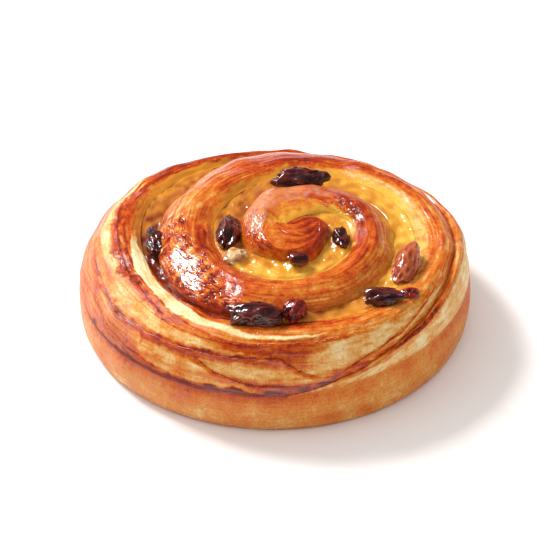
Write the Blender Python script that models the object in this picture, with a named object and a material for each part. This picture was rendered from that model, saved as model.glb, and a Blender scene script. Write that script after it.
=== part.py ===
"""Pain suisse: a flat snail of laminated dough, rolled up around custard with raisins.

Run with: blender --background --python part.py
Metres, +Z up. The origin is at the middle of the flat underside and the photograph's viewer
looks along +Y.

The dough is one ribbon on edge. It starts as a rounded knob in the middle and unwinds clockwise,
seen from above. An angle in this script counts in degrees from the back (+Y), clockwise, and
keeps counting: 90 is the right-hand side, 360 is the back again, one turn further out. The
ribbon's turns are parted by a slot that the custard fills from top to bottom. Past the slot's end
the last turn lies against the one before it, and thins out to a tip at the front.
"""
import math

import bmesh
import bpy
import numpy as np

MM = 0.001
FULL_TURN = 360.0
STATION = 45.0

# Overall size
HALF_WIDTH = 54.0 * MM
HALF_DEPTH = 53.2 * MM
POLE = (3.5 * MM, -9.0 * MM)

# The rim is the line where the layered slope meets the plain side, a height every 45 degrees
RIM_HEIGHT = (12.4, 13.6, 15.4, 15.4, 12.8, 12.2, 12.2, 12.2)
# The side below the rim: outward step from the rim, and share of the rim's height
SIDE_PROFILE = (
    (-0.5, 0.95), (0.4, 0.82), (0.7, 0.62), (0.6, 0.4), (0.1, 0.18), (-0.6, 0.05), (-1.3, 0.0),
)

# The slot between the turns, a value every 45 degrees from its start behind the knob
CORE_RADIUS = 6.2 * MM
SLOT_END = 720.0
SLOT_RADIUS = (
    6.2, 16.8, 13.3, 11.6, 10.4, 11.5, 15.2, 22.0,
    32.1, 35.4, 31.8, 29.6, 28.7, 31.5, 35.7, 46.8,
    56.5,
)
SLOT_HALF_WIDTH = (
    0.0, 2.1, 3.1, 2.3, 3.1, 3.8, 3.6, 3.8,
    3.2, 2.7, 2.6, 2.4, 1.9, 1.6, 2.8, 2.9,
    0.0,
)
# The height of the dough's edge along the slot, and then along the seam to the tail's tip
TAIL_TIP = 900.0
SLOT_LEVEL = (
    31.6, 28.8, 28.1, 27.9, 27.8, 27.8, 27.8, 27.4,
    26.8, 26.3, 26.0, 26.0, 26.2, 25.4, 24.0, 21.9,
    19.0, 20.0, 24.4, 20.4, 12.8,
)
SEAM_MARGIN = (4.0, 4.6, 1.8, 0.0)

# The knob's crown, all around the circle that it is turned from
KNOB_TOP = 32.4 * MM
KNOB_RING = (31.6, 32.0, 31.9, 31.9, 32.2, 32.8, 33.2, 32.4)

# Two points nearer than this are one
WELD = 0.001 * MM

# The ribbon's crest, a value every 45 degrees from the knob to the end of the last full turn
CREST_RADIUS = (
    6.2, 10.4, 7.8, 6.9, 6.5, 6.6, 8.4, 12.8,
    21.0, 24.4, 22.3, 20.1, 18.7, 21.3, 25.7, 32.8,
    41.6, 45.3, 42.1, 37.2, 35.3, 37.7, 42.9, 54.0,
    58.3,
)
CREST_HEIGHT = (
    31.6, 32.2, 31.7, 31.5, 31.9, 33.0, 33.8, 34.0,
    32.0, 31.5, 31.2, 30.9, 30.4, 30.2, 30.1, 29.5,
    28.0, 27.4, 26.9, 26.8, 27.0, 26.3, 25.4, 23.2,
    20.0,
)
TAIL_CREST_SHARE = 0.32
TAIL_CREST_RISE = (1.0, 0.5, 0.5, 0.4, 0.0)

# The flaky layers on the outer slope: each is a raised edge, through points of angle and of
# share down the slope, 0 at the crest and 1 at the rim
LAYER_EDGES = (
    ((858.0, 0.31), (900.0, 0.28), (925.0, 0.29), (951.0, 0.10), (1000.0, 0.06)),
    ((878.0, 0.92), (900.0, 0.52), (935.0, 0.51), (960.0, 0.55), (1050.0, 0.32)),
    ((892.0, 0.88), (913.0, 0.83), (925.0, 0.73), (940.0, 0.56)),
)
LAYER_LIFT = 0.8 * MM
LAYER_LENGTH = 0.28
LAYER_FADE = 12.0

# How finely the ribbon is cut into faces
SECTION_STEP = 7.5
ACROSS_COUNT = 20
CORE_RINGS = 3
WALL_ROWS = 1

# The custard
GAP = 0.3 * MM
CUSTARD_START = 22.5
CUSTARD_END = 705.0
CUSTARD_DROP = 0.7 * MM
CUSTARD_CROWN = 0.5 * MM
CUSTARD_ACROSS = 3

# The raisins: middle, length, width, height, turn from +X, tilt of the long way
RAISINS = {
    "raisin_back": ((7.8, 19.8, 30.0), (14.2, 7.0, 5.6), 8.0, 0.0),
    "raisin_inner_left": ((-12.4, -3.9, 29.4), (12.6, 6.2, 5.8), 82.0, 0.0),
    "raisin_pale": ((-10.8, -14.2, 28.2), (7.0, 6.0, 4.8), 20.0, 0.0),
    "raisin_inner_right": ((18.1, -6.2, 28.8), (8.6, 4.6, 5.4), 96.0, 0.0),
    "raisin_knob": ((6.2, -17.3, 30.0), (5.2, 4.2, 3.4), 10.0, 0.0),
    "raisin_front": ((-4.8, -38.6, 28.0), (14.6, 7.4, 6.0), -6.0, 0.0),
    "raisin_front_red": ((6.3, -36.9, 28.0), (6.6, 6.0, 5.2), 60.0, 0.0),
    "raisin_right": ((35.4, -16.4, 27.6), (14.6, 6.8, 6.0), 72.0, 12.0),
    "raisin_right_front": ((28.6, -30.3, 27.2), (9.2, 5.8, 4.8), 6.0, 0.0),
    "raisin_small": ((35.8, -28.4, 26.8), (4.4, 4.0, 3.4), 30.0, 0.0),
    "raisin_left": ((-33.3, -3.8, 25.6), (12.4, 5.6, 5.6), 100.0, 0.0),
}
RAISIN_RINGS = 7
RAISIN_SIDES = 12
WRINKLE = 0.07

# Colours: linear red, green, blue
DOUGH_COLOUR = (0.50, 0.19, 0.05)
CUSTARD_COLOUR = (0.70, 0.42, 0.08)
RAISIN_COLOUR = (0.035, 0.012, 0.010)
PALE_RAISIN_COLOUR = (0.45, 0.22, 0.07)
AMBER_RAISIN_COLOUR = (0.22, 0.07, 0.03)


def along(angle, stations, first=0.0):
    """The smooth curve (Catmull-Rom) through values that stand 45 degrees apart."""
    values = np.asarray(stations, dtype=float)
    place = np.clip((np.asarray(angle, dtype=float) - first) / STATION, 0.0, len(values) - 1)
    index = np.minimum(place.astype(int), len(values) - 2)
    t = place - index
    before, start, end, after = (values[np.clip(index + k, 0, len(values) - 1)] for k in (-1, 0, 1, 2))
    return 0.5 * (
        2.0 * start
        + (end - before) * t
        + (2.0 * before - 5.0 * start + 4.0 * end - after) * t**2
        + (3.0 * start - before - 3.0 * end + after) * t**3
    )


def around(angle, stations):
    """The same curve through values that close on themselves after a full turn."""
    closed = tuple(stations[-2:]) + tuple(stations) + tuple(stations[:2])
    return along(np.asarray(angle, dtype=float) % FULL_TURN, closed, first=-2.0 * STATION)


def direction(angle):
    """Unit steps in plan, away from the pole, for angles clockwise from the back."""
    radians = np.radians(angle)
    return np.stack([np.sin(radians), np.cos(radians)], axis=-1)


def rim_radius(angle):
    """How far the rim's ellipse is from the pole."""
    scale = np.array([1.0 / HALF_WIDTH, 1.0 / HALF_DEPTH])
    ray = direction(angle) * scale
    start = np.array(POLE) * scale
    square = (ray**2).sum(axis=-1)
    half = ray @ start
    return (-half + np.sqrt(half**2 - square * (start @ start - 1.0))) / square


def rim_height(angle):
    """How high the rim is."""
    return around(angle, RIM_HEIGHT) * MM


def in_place(angle, radius, height):
    """Points from angle, distance from the pole, and height."""
    angle, radius, height = np.broadcast_arrays(angle, radius, height)
    plan = np.array(POLE) + direction(angle) * radius[..., None]
    return np.concatenate([plan, height[..., None]], axis=-1)


def slot_radius(angle):
    """The slot's middle line, and past its end the seam, which runs out to the rim."""
    slot = along(angle, SLOT_RADIUS) * MM
    margin = along(angle, seam_margins(), first=SLOT_END) * MM
    return np.where(np.asarray(angle) < SLOT_END, slot, rim_radius(angle) - margin)


def seam_margins():
    """The seam's distances in from the rim: it carries on from the end of the slot."""
    at_end = float(rim_radius(SLOT_END)) / MM - SLOT_RADIUS[-1]
    return (at_end,) + SEAM_MARGIN


def slot_half_width(angle):
    """Half the slot's width: nothing at its two ends and along the seam."""
    return np.maximum(along(angle, SLOT_HALF_WIDTH), 0.0) * MM * (np.asarray(angle) < SLOT_END)


def ribbon_sides(angle):
    """Distance from the pole and height of a section's inner and outer edge."""
    inner_slot = angle - FULL_TURN
    outside_knob = angle >= FULL_TURN
    inner = np.where(outside_knob, slot_radius(inner_slot) + slot_half_width(inner_slot), CORE_RADIUS)
    inner_level = np.where(outside_knob, along(inner_slot, SLOT_LEVEL), around(angle, KNOB_RING)) * MM
    at_rim = angle >= TAIL_TIP
    outer = np.where(at_rim, rim_radius(angle), slot_radius(angle) - slot_half_width(angle))
    outer_level = np.where(at_rim, rim_height(angle), along(angle, SLOT_LEVEL) * MM)
    return inner, inner_level, outer, outer_level


def crest(angle):
    """Distance from the pole and height of the ribbon's crest, with the tail's past the full turns."""
    tail_start = SLOT_END + FULL_TURN
    radius = along(angle, CREST_RADIUS) * MM
    height = along(angle, CREST_HEIGHT) * MM
    seam = slot_radius(angle - FULL_TURN)
    tail_radius = seam + (rim_radius(angle) - seam) * TAIL_CREST_SHARE
    tail_rise = along(angle, TAIL_CREST_RISE, first=tail_start)
    tail_height = (along(angle - FULL_TURN, SLOT_LEVEL) + tail_rise) * MM
    in_tail = angle > tail_start
    return np.where(in_tail, tail_radius, radius), np.where(in_tail, tail_height, height)


def layer_lift(angle, down):
    """How far the flaky layers stand out: a step at each edge that dies away further down."""
    lift = np.zeros_like(down)
    for edge in LAYER_EDGES:
        edge_angle, edge_down = np.array(edge).T
        past = (down - np.interp(angle, edge_angle, edge_down)) / LAYER_LENGTH
        inside = np.minimum(angle - edge_angle[0], edge_angle[-1] - angle)
        presence = np.clip(inside / LAYER_FADE, 0.0, 1.0)
        lift = np.maximum(lift, presence * np.where(past > 0.0, 1.0 - past, 0.0))
    return lift * np.clip((1.0 - down) / LAYER_LENGTH, 0.0, 1.0) * LAYER_LIFT


def ribbon_surface(angle, across):
    """The ribbon's top: each side of a section is a quarter of an ellipse, down from the crest."""
    angle, across = np.meshgrid(angle, across, indexing="ij")
    inner, inner_level, outer, outer_level = ribbon_sides(angle)
    crest_radius, crest_height = crest(angle)
    width = np.maximum(outer - inner, WELD)
    middle = np.clip((crest_radius - inner) / width, 0.0, 1.0)
    inward = across < middle
    reach = np.where(inward, middle, 1.0 - middle)
    share = np.abs(across - middle) / np.maximum(reach, WELD)
    foot = np.where(inward, inner_level, outer_level)
    upward = np.sqrt(np.maximum(1.0 - share**2, 0.0))
    down = np.where(inward, 1.0, np.arcsin(np.clip(share, 0.0, 1.0)) / (math.pi / 2.0))
    lift = layer_lift(angle, down)
    radius = inner + (outer - inner) * across + lift * share
    height = foot + (crest_height - foot) * upward + lift * upward
    return in_place(angle, radius, height)


def eased(count):
    """Shares from 0 to 1, closer together near both ends, where the dough turns down."""
    return 0.5 - 0.5 * np.cos(np.linspace(0.0, math.pi, count))


def to_floor(edge):
    """The same line of points on the floor."""
    return edge * np.array([1.0, 1.0, 0.0])


def drawn_in(angle, foot):
    """A slot edge's line on the floor, drawn in along the seam to meet the side's foot at the tip."""
    share = np.clip((angle - SLOT_END) / (TAIL_TIP - SLOT_END), 0.0, 1.0)
    foot = foot.copy()
    foot[:, :2] += direction(angle) * (share * SIDE_PROFILE[-1][0] * MM)[:, None]
    return foot


class Skin:
    """Collects grids of points, and welds them to one closed mesh."""

    def __init__(self):
        self.points = []
        self.faces = []
        self.count = 0

    def add_grid(self, grid, flip=False):
        """A sheet of quads over a grid of points, facing the other way if flipped."""
        rows, columns = grid.shape[:2]
        index = np.arange(rows * columns).reshape(rows, columns) + self.count
        quads = np.stack([index[:-1, :-1], index[1:, :-1], index[1:, 1:], index[:-1, 1:]], axis=-1)
        quads = quads.reshape(-1, 4)
        self.faces.extend((quads[:, ::-1] if flip else quads).tolist())
        self.points.append(grid.reshape(-1, 3))
        self.count += rows * columns

    def add_wall(self, top, rows, flip=False):
        """A straight wall from a line of points down to the floor."""
        shares = np.linspace(0.0, 1.0, rows + 1)[None, :, None]
        self.add_grid(top[:, None] + (to_floor(top) - top)[:, None] * shares, flip)

    def finish(self, name, material):
        """The welded mesh as an object, its faces turned outward."""
        mesh = bpy.data.meshes.new(name)
        mesh.from_pydata(np.concatenate(self.points).tolist(), [], self.faces)
        shape = bmesh.new()
        shape.from_mesh(mesh)
        bmesh.ops.remove_doubles(shape, verts=shape.verts, dist=WELD)
        bmesh.ops.dissolve_degenerate(shape, edges=shape.edges, dist=WELD)
        bmesh.ops.recalc_face_normals(shape, faces=shape.faces)
        shape.to_mesh(mesh)
        shape.free()
        mesh.materials.append(material)
        piece = bpy.data.objects.new(name, mesh)
        bpy.context.scene.collection.objects.link(piece)
        return piece


def make_material(name, colour, roughness):
    """A Principled material of one colour."""
    material = bpy.data.materials.new(name)
    material.use_nodes = True
    shader = material.node_tree.nodes["Principled BSDF"]
    shader.inputs["Base Color"].default_value = (*colour, 1.0)
    shader.inputs["Roughness"].default_value = roughness
    shader.inputs["Metallic"].default_value = 0.0
    material.diffuse_color = (*colour, 1.0)
    return material


def steps(first, last):
    """Angles of the sections from first to last."""
    return np.linspace(first, last, int(round((last - first) / SECTION_STEP)) + 1)


def make_dough():
    """The ribbon with its knob, slot walls, side and flat underside, as one solid."""
    skin = Skin()
    across = eased(ACROSS_COUNT)
    ribbon_end = TAIL_TIP + FULL_TURN
    ribbon = ribbon_surface(steps(0.0, ribbon_end), across)
    skin.add_grid(ribbon)

    full_circle = steps(0.0, FULL_TURN)
    ring = around(full_circle, KNOB_RING)[:, None] * MM
    share = np.linspace(0.0, 1.0, CORE_RINGS + 1)[None, :]
    crown = KNOB_TOP + (ring - KNOB_TOP) * share**2
    skin.add_grid(in_place(full_circle[:, None], CORE_RADIUS * share, crown))

    sections_in_turn = int(FULL_TURN / SECTION_STEP)
    slot_sections = int(SLOT_END / SECTION_STEP)
    skin.add_wall(ribbon[: slot_sections + 1, -1], WALL_ROWS)
    skin.add_wall(ribbon[sections_in_turn : sections_in_turn + slot_sections + 1, 0], WALL_ROWS)

    rim_circle = steps(TAIL_TIP, ribbon_end)
    side = [in_place(rim_circle, rim_radius(rim_circle), rim_height(rim_circle))]
    for step_out, share in SIDE_PROFILE:
        radius = rim_radius(rim_circle) + step_out * MM
        side.append(in_place(rim_circle, radius, rim_height(rim_circle) * share))
    side = np.stack(side, axis=1)
    skin.add_grid(side)

    sections = steps(0.0, ribbon_end)
    inner_foot = drawn_in(sections - FULL_TURN, to_floor(ribbon[:, 0]))
    outer_foot = drawn_in(sections, to_floor(ribbon[:, -1]))
    outer_foot[-len(rim_circle):] = side[:, -1]
    skin.add_grid(np.stack([inner_foot, outer_foot], axis=1), flip=True)
    pole = np.broadcast_to([*POLE, 0.0], (len(full_circle), 3))
    skin.add_grid(np.stack([pole, inner_foot[: len(full_circle)]], axis=1), flip=True)
    return skin.finish("dough", make_material("baked_dough", DOUGH_COLOUR, 0.4))


def make_custard():
    """The custard between the turns: a ribbon on edge, a little lower than the dough beside it."""
    angle = steps(CUSTARD_START, CUSTARD_END)
    share = np.linspace(-1.0, 1.0, CUSTARD_ACROSS + 1)
    half = (slot_half_width(angle) - GAP)[:, None]
    level = along(angle, SLOT_LEVEL)[:, None] * MM - CUSTARD_DROP
    top = in_place(
        angle[:, None],
        slot_radius(angle)[:, None] + half * share,
        level + CUSTARD_CROWN * (1.0 - share**2),
    )
    skin = Skin()
    skin.add_grid(top)
    skin.add_wall(top[:, 0], WALL_ROWS)
    skin.add_wall(top[:, -1], WALL_ROWS)
    skin.add_wall(top[0], WALL_ROWS)
    skin.add_wall(top[-1], WALL_ROWS)
    skin.add_grid(to_floor(top), flip=True)
    return skin.finish("custard", make_material("baked_custard", CUSTARD_COLOUR, 0.35))


def raisin_points(middle, size, turn, tilt, grow):
    """A grid over one raisin: an egg shape with a few soft lengthwise folds, turned and placed."""
    lengthwise = np.linspace(0.0, math.pi, RAISIN_RINGS + 1)[:, None]
    sideways = np.linspace(0.0, 2.0 * math.pi, RAISIN_SIDES + 1)[None, :]
    folds = 1.0 + WRINKLE * np.sin(3.0 * sideways + size[0]) * np.sin(lengthwise)
    half = np.array(size) * MM / 2.0 + grow
    x = half[0] * np.cos(lengthwise) + 0.0 * sideways
    y = half[1] * np.sin(lengthwise) * np.cos(sideways) * folds
    z = half[2] * np.sin(lengthwise) * np.sin(sideways) * folds
    slope = math.radians(tilt)
    x, z = x * math.cos(slope) - z * math.sin(slope), x * math.sin(slope) + z * math.cos(slope)
    heading = math.radians(turn)
    x, y = x * math.cos(heading) - y * math.sin(heading), x * math.sin(heading) + y * math.cos(heading)
    return np.stack([x, y, z], axis=-1) + np.array(middle) * MM


def make_raisin(name, material, grow=0.0):
    """One raisin, or its pocket cutter where it is grown by the gap."""
    skin = Skin()
    skin.add_grid(raisin_points(*RAISINS[name], grow))
    return skin.finish(name if grow == 0.0 else f"{name}_pocket", material)


def cut_pocket(piece, cutter):
    """Takes a raisin's pocket out of a piece."""
    cut = piece.modifiers.new("pocket", "BOOLEAN")
    cut.operation = "DIFFERENCE"
    cut.solver = "EXACT"
    cut.object = cutter
    with bpy.context.temp_override(object=piece, active_object=piece):
        bpy.ops.object.modifier_apply(modifier=cut.name)


def raisin_material(name, materials):
    """Most raisins are near black; two are amber and one is coated with custard."""
    if name == "raisin_pale":
        return materials["coated"]
    if name in ("raisin_right", "raisin_small"):
        return materials["amber"]
    return materials["dark"]


def build():
    """Builds the whole pastry."""
    for item in list(bpy.data.objects):
        bpy.data.objects.remove(item, do_unlink=True)
    dough = make_dough()
    custard = make_custard()
    materials = {
        "dark": make_material("dark_raisin", RAISIN_COLOUR, 0.3),
        "amber": make_material("amber_raisin", AMBER_RAISIN_COLOUR, 0.35),
        "coated": make_material("coated_raisin", PALE_RAISIN_COLOUR, 0.4),
    }
    for name in RAISINS:
        material = raisin_material(name, materials)
        make_raisin(name, material)
        pocket = make_raisin(name, material, grow=GAP)
        cut_pocket(dough, pocket)
        cut_pocket(custard, pocket)
        bpy.data.objects.remove(pocket, do_unlink=True)


build()
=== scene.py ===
"""The looks of a pastry snail: laminated dough rolled up around custard with raisins.

The dough is one ribbon on edge that unwinds clockwise from a knob. Angles count in degrees from
the back (+Y), clockwise seen from above, and keep counting: 360 degrees is one turn further out.
Across the ribbon, -1 is its inner edge, 0 its crest and 1 its outer edge.
"""
import math

import bmesh
import bpy
import numpy as np
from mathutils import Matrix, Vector


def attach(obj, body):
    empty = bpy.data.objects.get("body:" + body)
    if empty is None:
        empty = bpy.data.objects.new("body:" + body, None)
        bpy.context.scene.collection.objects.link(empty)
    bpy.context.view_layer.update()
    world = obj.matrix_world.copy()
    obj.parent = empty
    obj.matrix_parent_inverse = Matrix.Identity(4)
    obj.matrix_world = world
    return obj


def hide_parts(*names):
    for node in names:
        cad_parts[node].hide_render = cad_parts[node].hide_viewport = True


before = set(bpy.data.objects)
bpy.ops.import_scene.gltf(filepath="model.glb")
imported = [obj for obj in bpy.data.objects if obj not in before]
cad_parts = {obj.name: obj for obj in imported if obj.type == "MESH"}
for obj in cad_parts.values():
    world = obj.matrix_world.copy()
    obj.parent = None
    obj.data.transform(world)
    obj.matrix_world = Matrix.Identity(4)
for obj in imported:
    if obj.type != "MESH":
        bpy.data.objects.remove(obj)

bl_info = {
    "name": "Pastry Snail",
    "version": (1, 0, 0),
    "blender": (4, 5, 0),
    "location": "3D View > Sidebar > Pastry",
    "description": "Dresses a raisin and custard pastry snail: crust, custard, raisins and stage",
    "category": "Object",
}

MM = 0.001
FULL_TURN = 360.0
STATION = 45.0

# The pastry's form, close to the solids': sizes are in millimetres, and a row has a value every 45
# degrees. The rim is an ellipse, and the spiral turns about the pole, both measured from the middle.
HALF_WIDTH = 54.0 * MM
HALF_DEPTH = 53.2 * MM
POLE = (3.5 * MM, -9.0 * MM)
RIM_HEIGHT = (12.4, 13.6, 15.4, 15.4, 12.8, 12.2, 12.2, 12.2)

# The side below the rim: how far it stands out, and the height as a share of the rim's
SIDE_PROFILE = (
    (-0.5, 0.95), (0.4, 0.82), (0.7, 0.62), (0.6, 0.4), (0.1, 0.18), (-0.6, 0.05), (-1.3, 0.0),
)

# The crown's radius, and the slot: its middle line, half its width, and the height of its edges,
# which run on past its end as the seam between the last turn and the tail
CORE_RADIUS = 6.2 * MM
SLOT_END = 720.0
SLOT_RADIUS = (
    6.2, 16.8, 13.3, 11.6, 10.4, 11.5, 15.2, 22.0,
    32.1, 35.4, 31.8, 29.6, 28.7, 31.5, 35.7, 46.8,
    56.5,
)
SLOT_HALF_WIDTH = (
    0.0, 2.1, 3.1, 2.3, 3.1, 3.8, 3.6, 3.8,
    3.2, 2.7, 2.6, 2.4, 1.9, 1.6, 2.8, 2.9,
    0.0,
)
TAIL_TIP = 900.0
SLOT_LEVEL = (
    31.6, 28.8, 28.1, 27.9, 27.8, 27.8, 27.8, 27.4,
    26.8, 26.3, 26.0, 26.0, 26.2, 25.4, 24.0, 21.9,
    19.0, 20.0, 24.4, 20.4, 12.8,
)
SEAM_MARGIN = (4.0, 4.6, 1.8, 0.0)

# The knob's top, the ring round its crown, and the ribbon's crest: distance from the pole and height
KNOB_TOP = 32.9 * MM
KNOB_RING = (31.9, 32.0, 31.9, 31.9, 32.2, 32.8, 33.3, 33.2)
CREST_RADIUS = (
    6.2, 10.4, 7.8, 6.9, 6.5, 6.6, 6.9, 9.8,
    21.0, 24.4, 22.3, 20.1, 18.7, 21.3, 25.7, 32.8,
    41.6, 45.3, 42.1, 37.2, 35.3, 37.7, 42.9, 54.0,
    58.3,
)
CREST_HEIGHT = (
    31.6, 32.2, 31.7, 31.5, 31.9, 32.9, 33.4, 34.0,
    32.0, 31.5, 31.2, 30.9, 30.4, 30.2, 30.1, 29.5,
    28.0, 27.4, 26.9, 26.8, 27.0, 26.3, 25.4, 23.2,
    20.0,
)
TAIL_CREST_SHARE = 0.32
TAIL_CREST_RISE = (1.0, 0.5, 0.5, 0.4, 0.0)

# How far each slope runs out softly at its foot, 0 a quarter of an ellipse, 1 an S-curve
INNER_SOFTNESS = (
    0.5, 0.5, 0.5, 0.5, 0.5, 0.5, 0.5, 0.5, 0.3, 0.2, 0.5, 0.8, 0.9, 0.8, 0.6, 0.5,
    0.7, 0.8, 0.8, 0.7, 0.5, 0.5, 0.5, 0.5, 0.5, 0.5, 0.5, 0.5, 0.5,
)
OUTER_SOFTNESS = (
    0.2, 0.2, 0.2, 0.2, 0.2, 0.2, 0.2, 0.2, 0.3, 0.5, 0.5, 0.5, 0.3, 0.0, 0.0, 0.3,
    0.3, 0.5, 0.5, 0.4, 0.2, 0.0, 0.0, 0.0, 0.0, 0.0, 0.0, 0.0, 0.0,
)

# How far the first turn's outer edge folds over the custard, in millimetres, from 495 degrees on
FOLD_START = 495.0
FOLD_OVER = (0.0, 0.5, 2.8, 2.2, 0.0, 0.0)

# Where the knob's inner slope turns into the ribbon's: the angle, and the stretch that the shape and
# the streaks take for it
KNOB_END = 330.0
SHAPE_BLEND = 60.0
RIBBON_BLEND = 40.0

# The raisins: middle and size in millimetres, turn in plan and tilt in degrees
RAISINS = {
    "raisin_back": ((6.9, 19.4, 30.7), (15.4, 7.8, 6.4), 8.0, 0.0),
    "raisin_inner_left": ((-12.4, -3.9, 29.4), (12.6, 6.2, 5.8), 82.0, 0.0),
    "raisin_pale": ((-10.8, -14.2, 28.2), (7.0, 6.0, 4.8), 20.0, 0.0),
    "raisin_inner_right": ((18.1, -6.2, 28.8), (8.6, 4.6, 5.4), 96.0, 0.0),
    "raisin_knob": ((6.2, -17.3, 30.0), (5.2, 4.2, 3.4), 10.0, 0.0),
    "raisin_front": ((-4.8, -38.6, 28.0), (14.6, 7.4, 6.0), -6.0, 0.0),
    "raisin_front_red": ((5.6, -36.9, 28.0), (7.2, 6.6, 5.2), 60.0, 0.0),
    "raisin_right": ((35.4, -16.4, 27.6), (14.6, 6.8, 6.0), 72.0, 12.0),
    "raisin_right_front": ((28.6, -30.3, 27.2), (9.2, 5.8, 4.8), 6.0, 0.0),
    "raisin_small": ((35.8, -28.4, 26.8), (4.4, 4.0, 3.4), 30.0, 0.0),
    "raisin_left": ((-32.8, -3.4, 25.3), (10.0, 5.0, 5.2), 100.0, 0.0),
}

# How finely the crust is cut: sections in each stretch of the ribbon, columns on each slope
STRETCHES = ((0.0, 360.0, 150), (360.0, 720.0, 250), (720.0, 830.0, 90), (830.0, 900.0, 116),
             (900.0, 1020.0, 220), (1020.0, 1080.0, 50), (1080.0, 1190.0, 90), (1190.0, 1260.0, 116))
INNER_COLUMNS = 28
OUTER_COLUMNS = 48
CORE_RINGS = 18
SIDE_ROWS = 14

# The flaky layers that lift on the outer slope: raised lips through points of angle and across
LIPS = (
    ((866, .27), (899, .28), (924, .29), (939, .19), (951, .09), (966, .02), (999, 0), (1014, .03)),
    ((943, .23), (950, .21), (969, .1), (981, .1), (999, .08), (1020, .16)),
    ((884, .89), (889, .82), (896, .67), (903, .48), (920, .51), (949, .51), (957, .53), (965, .57),
     (972, .49), (1000, .42)),
    ((899, .87), (913, .83), (925, .73), (932, .6), (945, .56)),
    ((809, .21), (824, .36), (834, .48), (842, .56), (853, .66), (862, .73), (871, .78), (884, .89)),
    ((938, .93), (948, .88), (958, .84), (966, .78), (975, .68), (983, .55), (990, .48)),
)
LIP_LENGTH = 0.2
LIP_EDGE = 0.04
LIP_FADE = 9.0
LIP_CALM = 0.1

# How browned the crust is, 0 cream to 1 burnt, every 45 degrees from the knob to the tail
BAKE_LINES = (-1.0, -0.5, 0.0, 0.5, 1.0)
BAKE = (
    (.56, .58, .62, .62, .58, .50, .44, .44, .40, .28, .50, .36, .38, .62, .58, .52,
     .50, .36, .30, .42, .80, .80, .52, .50, .70, .62, .50, .60, .58),
    (.56, .60, .64, .64, .60, .62, .54, .44, .46, .55, .66, .52, .48, .63, .58, .54,
     .60, .50, .44, .48, .68, .48, .44, .58, .66, .56, .42, .52, .56),
    (.60, .62, .68, .66, .62, .68, .58, .44, .50, .70, .64, .52, .52, .58, .5, .42,
     .74, .56, .44, .40, .44, .36, .54, .74, .66, .50, .40, .46, .50),
    (.56, .62, .70, .70, .66, .74, .72, .48, .56, .58, .48, .45, .52, .57, .46, .42,
     .68, .48, .42, .34, .50, .48, .42, .66, .58, .36, .26, .30, .34),
    (.46, .54, .62, .62, .54, .44, .42, .50, .52, .50, .52, .46, .62, .7, .62, .50,
     .58, .56, .60, .56, .72, .7, .52, .68, .58, .36, .28, .38, .46),
)

# Bands painted over that: how browned, how soft the edge is for the pale ones, then points of
# angle, place across, and half width
PALE_BANDS = (
    (.05, .03, ((880, .12, .012), (890, .15, .025), (902, .165, .04), (915, .14, .045), (930, .03, .09),
            (945, -.1, .2), (960, -.25, .34), (975, -.38, .42), (985, -.46, .42), (998, -.5, .28),
            (1008, -.55, .14))),
    (.16, .06, ((975, .2, .04), (990, .25, .06), (1005, .3, .09), (1020, .24, .12), (1040, .2, .12))),
    (.16, .03, ((988, .03, .02), (1000, .05, .03), (1012, .08, .04))),
    (.2, .08, ((905, .44, .02), (915, .43, .03), (930, .41, .045), (945, .37, .07), (958, .36, .13),
            (970, .36, .14), (982, .36, .07))),
    (.25, .1, ((882, .88, .04), (890, .8, .07), (900, .72, .1), (915, .68, .1), (935, .7, .09),
            (950, .68, .1), (962, .66, .05))),
    (.3, .1, ((905, .92, .03), (925, .88, .05), (940, .85, .06), (955, .84, .04))),
    (.2, .2, ((822, .72, .06), (836, .68, .14), (850, .6, .2), (862, .56, .24), (875, .56, .24),
            (888, .6, .2), (897, .62, .1))),
    (.15, .12, ((1136, .4, .1), (1152, .52, .22), (1170, .6, .34), (1185, .64, .36), (1200, .74, .28),
            (1215, .8, .22), (1230, .82, .2), (1245, .82, .15))),
    (.24, .25, ((732, -.52, .1), (750, -.56, .22), (768, -.6, .28), (785, -.66, .3), (800, -.7, .28),
            (820, -.64, .15))),
)
DARK_BANDS = (
    (.66, ((886, .42, .05), (900, .4, .08), (915, .39, .06), (930, .37, .04))),
    (.74, ((896, .5, .02), (910, .52, .03), (930, .54, .04), (948, .54, .045), (960, .57, .04),
            (972, .52, .035), (988, .46, .02))),
    (.7, ((940, .24, .02), (952, .2, .035), (965, .13, .045), (980, .13, .055), (1000, .13, .06),
            (1020, .17, .05), (1040, .18, .03))),
    # Painted shade together with caramelised glaze in the deep, narrow slot at the front left
    (.92, ((885, -.85, .1), (900, -.75, .25), (915, -.7, .28), (930, -.75, .25), (945, -.82, .2),
            (960, -.92, .12), (975, -.98, .06))),
    # Painted shade together with caramelised glaze down the same narrow slot's other side
    (.76, ((570, .92, .1), (590, .88, .14), (605, .93, .1), (625, .95, .08), (645, .98, .05))),
    (.74, ((50, .3, .25), (80, .45, .4), (100, .5, .4), (125, .6, .3))),
    (.57, ((190, .5, .15), (225, .6, .18), (250, .62, .15), (280, .62, .12))),
    (.78, ((390, 0, .08), (405, -.12, .12), (420, -.22, .14), (435, -.3, .12), (450, -.5, .15))),
    (.66, ((368, -.12, .06), (385, -.22, .08), (398, -.2, .08))),
    (.78, ((612, -.4, .12), (628, -.3, .2), (640, -.38, .16), (655, -.48, .08))),
    (.7, ((1190, .08, .1), (1205, .18, .16), (1215, .18, .18), (1228, .1, .1))),
    (.92, ((878, .99, .03), (895, .98, .04), (920, .98, .045), (945, .98, .045), (965, .985, .04),
            (985, .99, .03))),
)

# The browned edge of a lifted layer: how browned, its half width, and how much of the crust it hides
LIP_BAKE = 0.64
LIP_HALF = 0.028
LIP_COVER = 0.7

# How soft the edges of the dark and dull bands are, and how the dark ones' edges waver and fray
DARK_EDGE = 0.12
DARK_WAVER = 2.0
DARK_FRAY = 0.02

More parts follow.
